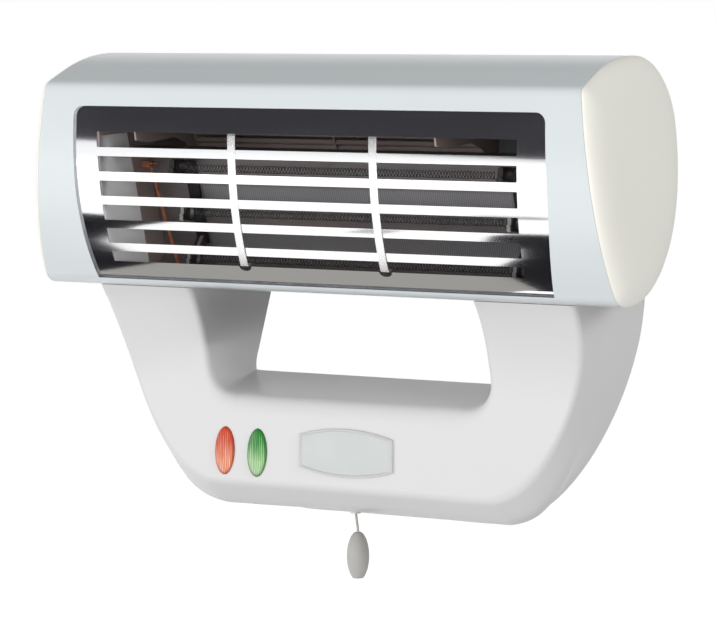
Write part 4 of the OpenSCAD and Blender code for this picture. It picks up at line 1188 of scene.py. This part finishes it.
class HEATER_OT_grille(bpy.types.Operator):
    """Stamps the chrome plate with its bars and hooks the two straps over it"""
    bl_idname = "heater.grille"
    bl_label = "Chrome grille"

    def execute(self, context):
        head, grille, section = settings().head, settings().grille, HeadSection(26)
        line, front_y = PlateLine(section), -head.depth - head.gap
        start, reach = section.front_start - 20, grille.window / 2 + 5 * MM
        near = head.shell + 0.05 * MM
        plate = new_object("chrome_plate", *sheet_mesh(section.stretch(near, start, section.low),
                                                       section.stretch(near + grille.plate, start, section.low),
                                                       at(-reach), at(reach)))
        near_y, far_y = front_y - 0.005, front_y + WINDOW_DEEP
        keep_inside(plate, cutter([window_outline(5 * MM)], near_y, far_y))
        slots, left = [], 3.5 * MM
        for top, low in line.slots():
            corners = [[line.half(low), low], [line.half(top), top], [-line.half(top) - left, top],
                       [-line.half(low) - left, low]]
            slots.append([q for i in range(4) for q in HousingTrack.rounded(
                corners[i - 1], corners[i], corners[(i + 1) % 4], 0.9 * MM, 4)])
        notches = [shifted(ring(grille.strap + 4 * MM, 7 * MM, 40, 2.2), side * grille.strap_at, line.low)
                   for side in (-1, 1)]
        cut(plate, [cutter(slots, near_y, far_y), cutter(notches, near_y, far_y)])
        dress(rounded_edges(plate, 0.12 * MM, 2, 50), bright_chrome(), "grille")
        surface = [q for q in section.stretch(head.shell - grille.plate / 2, section.front_start, section.low)
                   if line.low + 0.8 * MM <= q[1] <= line.top - 1.2 * MM]
        route, thick = self.hooked(surface, 4.5 * MM), grille.plate / 2 - 0.02 * MM
        for side, name in ((-1, "left"), (1, "right")):
            sides = [at(side * grille.strap_at + half * grille.strap) for half in (-0.5, 0.5)]
            strap = new_object("upright_strap_" + name,
                               *sheet_mesh(beside(route, thick), beside(route, -thick), *sides))
            dress(rounded_edges(strap, 0.15 * MM, 2, 50), bar_chrome(), "grille_strap_" + name)
        return {"FINISHED"}

    @staticmethod
    def hooked(surface, depth):
        """The line with both its ends turned inwards through the notches."""
        radius = 1 * MM

        def hook(end, before):
            along = unit([end[j] - before[j] for j in (0, 1)])
            inwards = [abs(along[1]), -along[0] * math.copysign(1, along[1])]
            bend = [[end[j] + radius * (math.sin(a) * along[j] + (1 - math.cos(a)) * inwards[j]) for j in (0, 1)]
                    for a in (math.pi / 2 * k / 6 for k in range(1, 7))]
            return bend + [[bend[-1][j] + (depth - radius) * inwards[j] for j in (0, 1)]]
        return hook(surface[0], surface[1])[::-1] + surface + hook(surface[-1], surface[-2])


class HEATER_OT_trough(bpy.types.Operator):
    """Bends the mirror trough behind the tubes and closes its ends"""
    bl_idname = "heater.trough"
    bl_label = "Reflector trough"

    def execute(self, context):
        section, heating = HeadSection(4), settings().heating
        # from the front: the upper lip, the upper bend, the back, the lower bend and the lower lip
        drawn = straight([15, 102.5], [55, 105.5], 6)
        drawn += bezier([55, 105.5], [65, 106.5], [70.4, 103.5], [71.7, 97], 12)
        drawn += straight([71.7, 97], [93, 30], 10)
        drawn += bezier([93, 30], [95.5, 21], [89, 15.8], [79, 13], 12)
        drawn += smooth_track([[79, 13], [61, 6.5], [43, 4.2], [31, 8]], 6)
        points = [section.place(u, v) for u, v in drawn]
        half = heating.tube_length / 2 + 16 * MM
        trough = new_object("mirror_trough", *sheet_mesh(points, beside(points, 0.8 * MM), at(-half), at(half)),
                            sharp=60)
        dress(rounded_edges(trough, 0.2 * MM, 2, 60), trough_mirror(), "trough_reflector")
        front = section.inset(settings().head.shell + settings().grille.plate + 0.3 * MM)
        high, low, deep = section.place(41, 117), section.place(72, 12), section.place(31, 0)[0]
        outline = [high] + [p for p in front if p[0] < deep and low[1] < p[1] < high[1]] + [low]
        for side, name in ((-1, "left"), (1, "right")):
            strip = new_object("satin_strip_" + name, *prism_x(outline, at(side * half), at(side * (half + 0.8 * MM))))
            dress(rounded_edges(strip, 0.15 * MM, 2, 60), strip_mirror(), "side_strip_" + name)
        dressed_nodes(duct_steel(), "reflector_end_left", "reflector_end_right")
        return {"FINISHED"}


class HEATER_OT_tubes(bpy.types.Operator):
    """Draws the three quartz tubes and winds their coils"""
    bl_idname = "heater.tubes"
    bl_label = "Quartz tubes"

    def execute(self, context):
        heating = settings().heating
        reach, outer = heating.tube_length / 2, heating.tube / 2
        half, radius, steps = heating.coil_length / 2, heating.coil / 2, heating.curls * 10
        for axis, name in zip(tube_axes(HeadSection(4)), ("top", "middle", "bottom")):
            glass = pipe_x("quartz_glass_" + name, axis, -reach, reach, outer, outer - heating.wall)
            dress(glass, quartz(), "quartz_tube_" + name)
            route = [(-half - out, axis[0] + radius, axis[1]) for out in (1.5 * MM, 0.7 * MM)]
            for k in range(steps + 1):
                a = 2 * math.pi * k / 10
                uneven = 0.12 * MM * math.sin(k * 0.071) + 0.08 * MM * math.sin(k * 0.023 + 1)
                route.append((-half + 2 * half * k / steps, axis[0] + (radius + uneven) * math.cos(a),
                              axis[1] + (radius + uneven) * math.sin(a)))
            route += [(half + out, axis[0] + radius, axis[1]) for out in (0.7 * MM, 1.5 * MM)]
            coil = tube("wound_coil_" + name, route, heating.wire, resolution=2)
            dress(coil, coil_metal(), "heating_coil_" + name)
        return {"FINISHED"}


class HEATER_OT_clamps(bpy.types.Operator):
    """Finishes what holds and wires the tubes"""
    bl_idname = "heater.clamps"
    bl_label = "Clamps and link wire"

    def execute(self, context):
        section, end = HeadSection(4), -settings().heating.tube_length / 2
        # millimetres in from the tubes' ends, and then places on the head's drawn section
        drawn = [(-8.8, 56.8, 91.6), (-6.8, 56.8, 91.2), (-5.2, 56.8, 90.3), (-4, 56.8, 88.6), (-3, 56.4, 86),
                 (4.1, 62.6, 51.7), (11.2, 68.9, 17.5), (12, 69.6, 14), (14, 71.4, 12.2), (16.4, 73.4, 12.2)]
        route = [(out * MM + end, *section.place(u, v)) for out, u, v in drawn]
        wire = tube("link_wire_sleeve", smooth_track(route, 6), 2.5 * MM, resolution=10)
        dress(wire, wire_cover(), "link_wire")
        dressed_nodes(copper_sheet(), "link_wire_tab")
        dressed_nodes(clamp_steel(), "tube_clamps_left", "tube_clamps_right", "tube_clamp_screws")
        dressed_nodes(black_sheet(), "tube_support_left", "tube_support_right")
        return {"FINISHED"}


class HEATER_OT_fan(bpy.types.Operator):
    """Finishes the fan, its motor and the cut-out behind the trough"""
    bl_idname = "heater.fan"
    bl_label = "Fan and motor"

    def execute(self, context):
        dressed_nodes(duct_steel(), "fan_rotor", "fan_scroll")
        dressed_nodes(black_sheet(), "motor_brackets")
        dressed_nodes(zinc_plate(), "fan_shaft", "motor_rotor")
        dressed_nodes(black_plastic(), "fan_bearing", "thermal_cutout")
        dressed_nodes(laminations(), "motor_core")
        dressed_nodes(winding_wire(), "motor_winding")
        return {"FINISHED"}


class HEATER_OT_housing(bpy.types.Operator):
    """Moulds the U-shaped housing that carries the head"""
    bl_idname = "heater.housing"
    bl_label = "Housing"

    def execute(self, context):
        s = settings()
        rings = HousingTrack(HeadSection(10)).rings()
        count = len(rings[0])
        vertices, faces = rings_mesh(rings, ends=False)
        last = (len(rings) - 1) * count
        for i in range(count // 2 - 1):
            j = count - 1 - i
            faces += [(i, i + 1, j - 1, j), (last + i, last + j, last + j - 1, last + i + 1)]
        body = new_object("moulded_housing", vertices, faces)
        gap, front = 0.2 * MM, -s.housing.face
        oval = ring(s.trim.lens_width + 2 * gap, s.trim.lens_height + 2 * gap, 96)
        holes = [shifted(oval, -x, -s.trim.lens_low, LENS_TURN) for x in (s.trim.red_at, s.trim.green_at)]
        bore = turned("cutter", [(4.1 * MM, 0), (4.1 * MM, 0.04)], (CORD_X, CORD_Y, -s.housing.low - 0.005), body=None)
        cut(body, [cutter(holes, front - 0.005, front + 0.01), bore])
        even = body.modifiers.new("even_normals", "WEIGHTED_NORMAL")
        even.keep_sharp, even.weight = True, 60
        dress(body, housing_plastic(), "lower_housing")
        return {"FINISHED"}


class HEATER_OT_lenses(bpy.types.Operator):
    """Sets the red and the green lens over their lamps"""
    bl_idname = "heater.lenses"
    bl_label = "Indicator lenses"

    def execute(self, context):
        trim, face, wall = settings().trim, -settings().housing.face, settings().housing.wall
        back, seat = face + wall + 1.8 * MM, face + wall + 0.1 * MM
        # a flange behind the moulding, the neck through it, and then the dome
        levels = [(0.1, back), (0.7, back), (1.07, back), (1.07, seat), (1.0, seat), (1.0, face - 0.2 * MM),
                  (0.995, face - 0.7 * MM)]
        for k in range(1, 25):
            a = k / 25 * math.pi / 2
            levels.append((0.985 * math.cos(a), face - 0.8 * MM - 2.1 * MM * math.sin(a) ** 0.8))
        for x, name, material in ((-trim.red_at, "red", red_lens_plastic()),
                                  (-trim.green_at, "green", green_lens_plastic())):
            rings = []
            for scale, y in levels:
                oval = ring(trim.lens_width * scale, trim.lens_height * scale, 96)
                rings.append([(p[0], y, p[1]) for p in shifted(oval, x, -trim.lens_low, LENS_TURN)])
            lens = new_object("indicator_lens_" + name, *rings_mesh(rings), sharp=50)
            dress(lens, material, "lens_" + name)
            name + "_lens"
        dressed_nodes(lamp_glass(), "lamp_red", "lamp_green")
        dressed_nodes(ivory_plastic(), "lamp_bracket")
        return {"FINISHED"}


class HEATER_OT_name_plate(bpy.types.Operator):
    """Fixes the bare, barrel-shaped plate with its raised rim"""
    bl_idname = "heater.name_plate"
    bl_label = "Bare plate"

    def execute(self, context):
        trim, face, below = settings().trim, -settings().housing.face, 79 * MM
        bow = (trim.plate_height - trim.plate_end) / 2
        arc = (trim.plate_width ** 2 / 4 + bow ** 2) / (2 * bow)

        def outline(inset, y):
            half, steps, upper = trim.plate_width / 2 - inset, 28, []
            for k in range(steps + 1):
                x = half - 2 * half * k / steps
                upper.append((x, trim.plate_height / 2 - arc + math.sqrt(arc ** 2 - x * x) - inset))
            points = upper + [(-x, -z) for x, z in upper]
            return [(x, y, z - below) for x, z in points]

        top = face - 2 * MM
        # steps in from the edge: a raised, rounded rim round a flat field
        levels = [(0, face - 0.05 * MM), (0, top + 0.5 * MM), (0.12, top + 0.12 * MM), (0.45, top), (1.5, top),
                  (1.85, top + 0.12 * MM), (2.05, top + 0.45 * MM), (2.3, top + 0.5 * MM)]
        rings = [outline(inset * MM, y) for inset, y in levels]
        plate = new_object("bare_name_plate", *rings_mesh(rings), sharp=60)
        dress(plate, plate_rim(), "name_plate")
        plate.data.materials.append(bare_plate())
        count = len(rings[0])
        for side in plate.data.polygons:
            if len(side.vertices) == count and min(side.vertices) >= count * (len(levels) - 2):
                side.material_index = 1
        return {"FINISHED"}


class HEATER_OT_switch(bpy.types.Operator):
    """Finishes the pull switch and the bush that its cord leaves by"""
    bl_idname = "heater.switch"
    bl_label = "Pull switch"

    def execute(self, context):
        dressed_nodes(ivory_plastic(), "pull_switch")
        dressed_nodes(housing_plastic(), "cord_bush")
        dressed_nodes(black_plastic(), "switch_slider")
        return {"FINISHED"}


class HEATER_OT_wall_side(bpy.types.Operator):
    """Finishes the wall plate, its screws and the mains terminals"""
    bl_idname = "heater.wall_side"
    bl_label = "Wall plate and terminals"

    def execute(self, context):
        dressed_nodes(zinc_plate(), "wall_plate")
        dressed_nodes(bright_steel(), "head_screws", "terminal_screws", "cable_clamp_screws")
        dressed_nodes(ivory_plastic(), "terminal_block", "cable_clamp")
        dressed_nodes(soft_rubber(), "inlet_grommet")
        return {"FINISHED"}


# ---------------------------------------------------------------- the stage
def soft_light(name, place, towards, size, power):
    """A white panel of light that doesn't show in bright metal."""
    lamp = bpy.data.lights.new(name, "AREA")
    lamp.shape, lamp.size, lamp.size_y, lamp.energy = "RECTANGLE", size[0], size[1], power
    light = bpy.data.objects.new(name, lamp)
    bpy.context.scene.collection.objects.link(light)
    light.location = place
    light.rotation_euler = (Vector(towards) - Vector(place)).to_track_quat("-Z", "Y").to_euler()
    light.visible_glossy = False


def card(name, corners, tone):
    """A flat card beside the set. It shows in bright metal, and neither lights nor shades anything."""
    piece = new_object(name, corners, [tuple(range(len(corners)))], body=None)
    shader = Shader(name)
    shader.output(shader.add("ShaderNodeEmission", {}, {"Color": (*tone, 1), "Strength": 1.0}))
    piece.data.materials.append(shader.owner)
    piece.visible_camera = piece.visible_diffuse = piece.visible_shadow = piece.visible_transmission = False


def flat_cards(height):
    """Low cards in front of the heater, which the chrome plate and its margins mirror."""
    black, left_side, right_side = (0.013, 0.012, 0.015), -0.466, -0.024
    left_edge = [(left_side, -0.329), (-0.45, -0.355), (-0.435, -0.385)]
    right_edge = [(right_side, -0.329), (-0.066, -0.392)]
    left = [(left_side, -0.30), *left_edge, (-0.42, -0.43), (-0.50, -0.47), (-0.553, -0.537), (-0.585, -0.63),
            (-0.598, -0.70), (-0.59, -0.755), (-0.65, -0.79), (-0.76, -0.83), (-1.3, -0.9), (-1.3, -0.2)]
    right = [(right_side, -0.30), *right_edge, (-0.10, -0.445), (-0.11, -0.537), (-0.135, -0.60), (-0.195, -0.66),
             (-0.215, -0.72), (-0.205, -0.75), (-0.12, -0.755), (0.7, -0.8), (0.7, -0.2)]
    between = [(-0.46, -0.12), *left_edge, (-0.42, -0.445), (-0.10, -0.445), *right_edge[::-1], (-0.02, -0.12)]
    bar = [(-0.345, -0.93), (-0.25, -0.93), (-0.25, -0.975), (-0.345, -0.975)]
    smudge = [(-0.365, -0.70), (-0.32, -0.70), (-0.32, -0.75), (-0.365, -0.75)]
    for name, outline, raised, tone in (
            ("black_card_left", left, 0, black), ("black_card_right", right, 0, black),
            ("grey_card", between, 2 * MM, (0.36, 0.345, 0.325)), ("grey_card_bar", bar, 0, (0.4, 0.39, 0.38)),
            ("grey_card_smudge", smudge, 0, (0.5, 0.49, 0.48))):
        card(name, [(x, y, height + raised) for x, y in outline], tone)


def leg_flag():
    """A small board that only keeps light off the inner wall of the left leg."""
    x, front, back, low, high = -0.095, -0.14, 0.01, 0.005, 0.04
    flag = new_object("leg_flag", [(x, front, high), (x, back, high), (x, back, low), (x, front, low)],
                      [(0, 1, 2, 3)], body=None)
    dress(flag, black_plastic())
    flag.visible_camera = flag.visible_glossy = flag.visible_transmission = False


def studio_world():
    """Soft light from all round: one sky lights the heater, and another shows in its bright metal."""
    world = bpy.data.worlds.new("studio")
    shader = Shader("studio", world)
    towards = shader.add("ShaderNodeTexCoord", {}, {}, "Generated")
    x, y, z = (shader.add("ShaderNodeSeparateXYZ", {}, {0: towards}, axis) for axis in "XYZ")

    def greys(factor, *stops):
        return shader.tones(factor, [(at_, (tone, tone, tone * 1.01)) for at_, tone in stops])

    behind = greys(z, (0.0, 1), (0.36, 0.95), (0.5, 0.42), (0.62, 0.2), (1, 0.15))
    ahead = greys(z, (0.0, 1), (0.03, 1), (0.15, 0.7), (0.35, 0.35), (1, 0.15))
    seen = shader.blend((y * 3 + 0.5).clamped(), ahead, behind)
    around = (y * -0.5 - z * 0.06 - x * 0.06 + 0.4).clamped()
    lit = greys(around, (0, 0.08), (0.3, 0.2), (0.5, 0.28), (0.7, 0.6), (1, 0.9))
    sky = shader.blend(shader.add("ShaderNodeLightPath", {}, {}, "Is Diffuse Ray"), seen, lit)
    shader.output(shader.add("ShaderNodeBackground", {}, {"Color": sky, "Strength": 1.0}), "ShaderNodeOutputWorld")
    return world


class HEATER_OT_stage(bpy.types.Operator):
    """Lays the pale floor and sets up the soft studio light"""
    bl_idname = "heater.stage"
    bl_label = "Floor and light"

    def execute(self, context):
        wide, low = 400.0, -0.30
        floor = new_object("floor", [(-wide, -wide, low), (wide, -wide, low), (wide, wide, low), (-wide, wide, low)],
                           [(0, 1, 2, 3)], body=None)
        dress(floor, studio_floor())
        floor.visible_diffuse = False
        context.scene.world = studio_world()
        soft_light("key_light", (-2.0, -2.4, 0.1), (0, 0, 0.05), (1.4, 0.7), 30)
        soft_light("front_fill", (1.2, -2.8, 0.2), (0, 0, 0.05), (1.2, 0.8), 16)
        soft_light("right_light", (2.4, -0.9, 0.9), (0.1, 0, 0.1), (1.0, 0.8), 17)
        soft_light("top_light", (1.3, 0.3, 1.0), (0.1, -0.08, 0.2), (0.8, 0.8), 2)
        card("black_flag", [(-1.52, -1.75, 0.07), (-0.52, -1.98, -0.113), (-0.52, -1.98, 1.3), (-1.52, -1.75, 1.3)],
             (0.04, 0.038, 0.045))
        flat_cards(low + 4 * MM)
        leg_flag()
        context.scene.view_settings.view_transform = "Standard"
        return {"FINISHED"}


STEPS = (HEATER_OT_camera, HEATER_OT_pull_cord, HEATER_OT_head_shells, HEATER_OT_end_caps, HEATER_OT_grille,
         HEATER_OT_trough, HEATER_OT_tubes, HEATER_OT_clamps, HEATER_OT_fan, HEATER_OT_housing, HEATER_OT_lenses,
         HEATER_OT_name_plate, HEATER_OT_switch, HEATER_OT_wall_side, HEATER_OT_stage)
GROUPS = (HeadSizes, GrilleSizes, HeatingSizes, HousingSizes, TrimSizes, FinishColours, HeaterSettings)


class HEATER_PT_sizes(bpy.types.Panel):
    """Lists the steps and the sizes in the sidebar"""
    bl_idname = "HEATER_PT_sizes"
    bl_label = "Bathroom wall heater"
    bl_space_type = "VIEW_3D"
    bl_region_type = "UI"
    bl_category = "Heater"

    def draw(self, context):
        for kind in STEPS:
            self.layout.operator(kind.bl_idname)
        whole = context.scene.heater
        for part in ("head", "grille", "heating", "housing", "trim", "colours"):
            box, group = self.layout.box(), getattr(whole, part)
            for name in group.__annotations__:
                box.prop(group, name)


def register():
    for kind in (*GROUPS, *STEPS, HEATER_PT_sizes):
        bpy.utils.register_class(kind)
    bpy.types.Scene.heater = PointerProperty(type=HeaterSettings)


def unregister():
    del bpy.types.Scene.heater
    for kind in reversed((*GROUPS, *STEPS, HEATER_PT_sizes)):
        bpy.utils.unregister_class(kind)


def main():
    register()
    for kind in STEPS:
        group, name = kind.bl_idname.split(".")
        getattr(getattr(bpy.ops, group), name)()


if __name__ == "__main__":
    main()
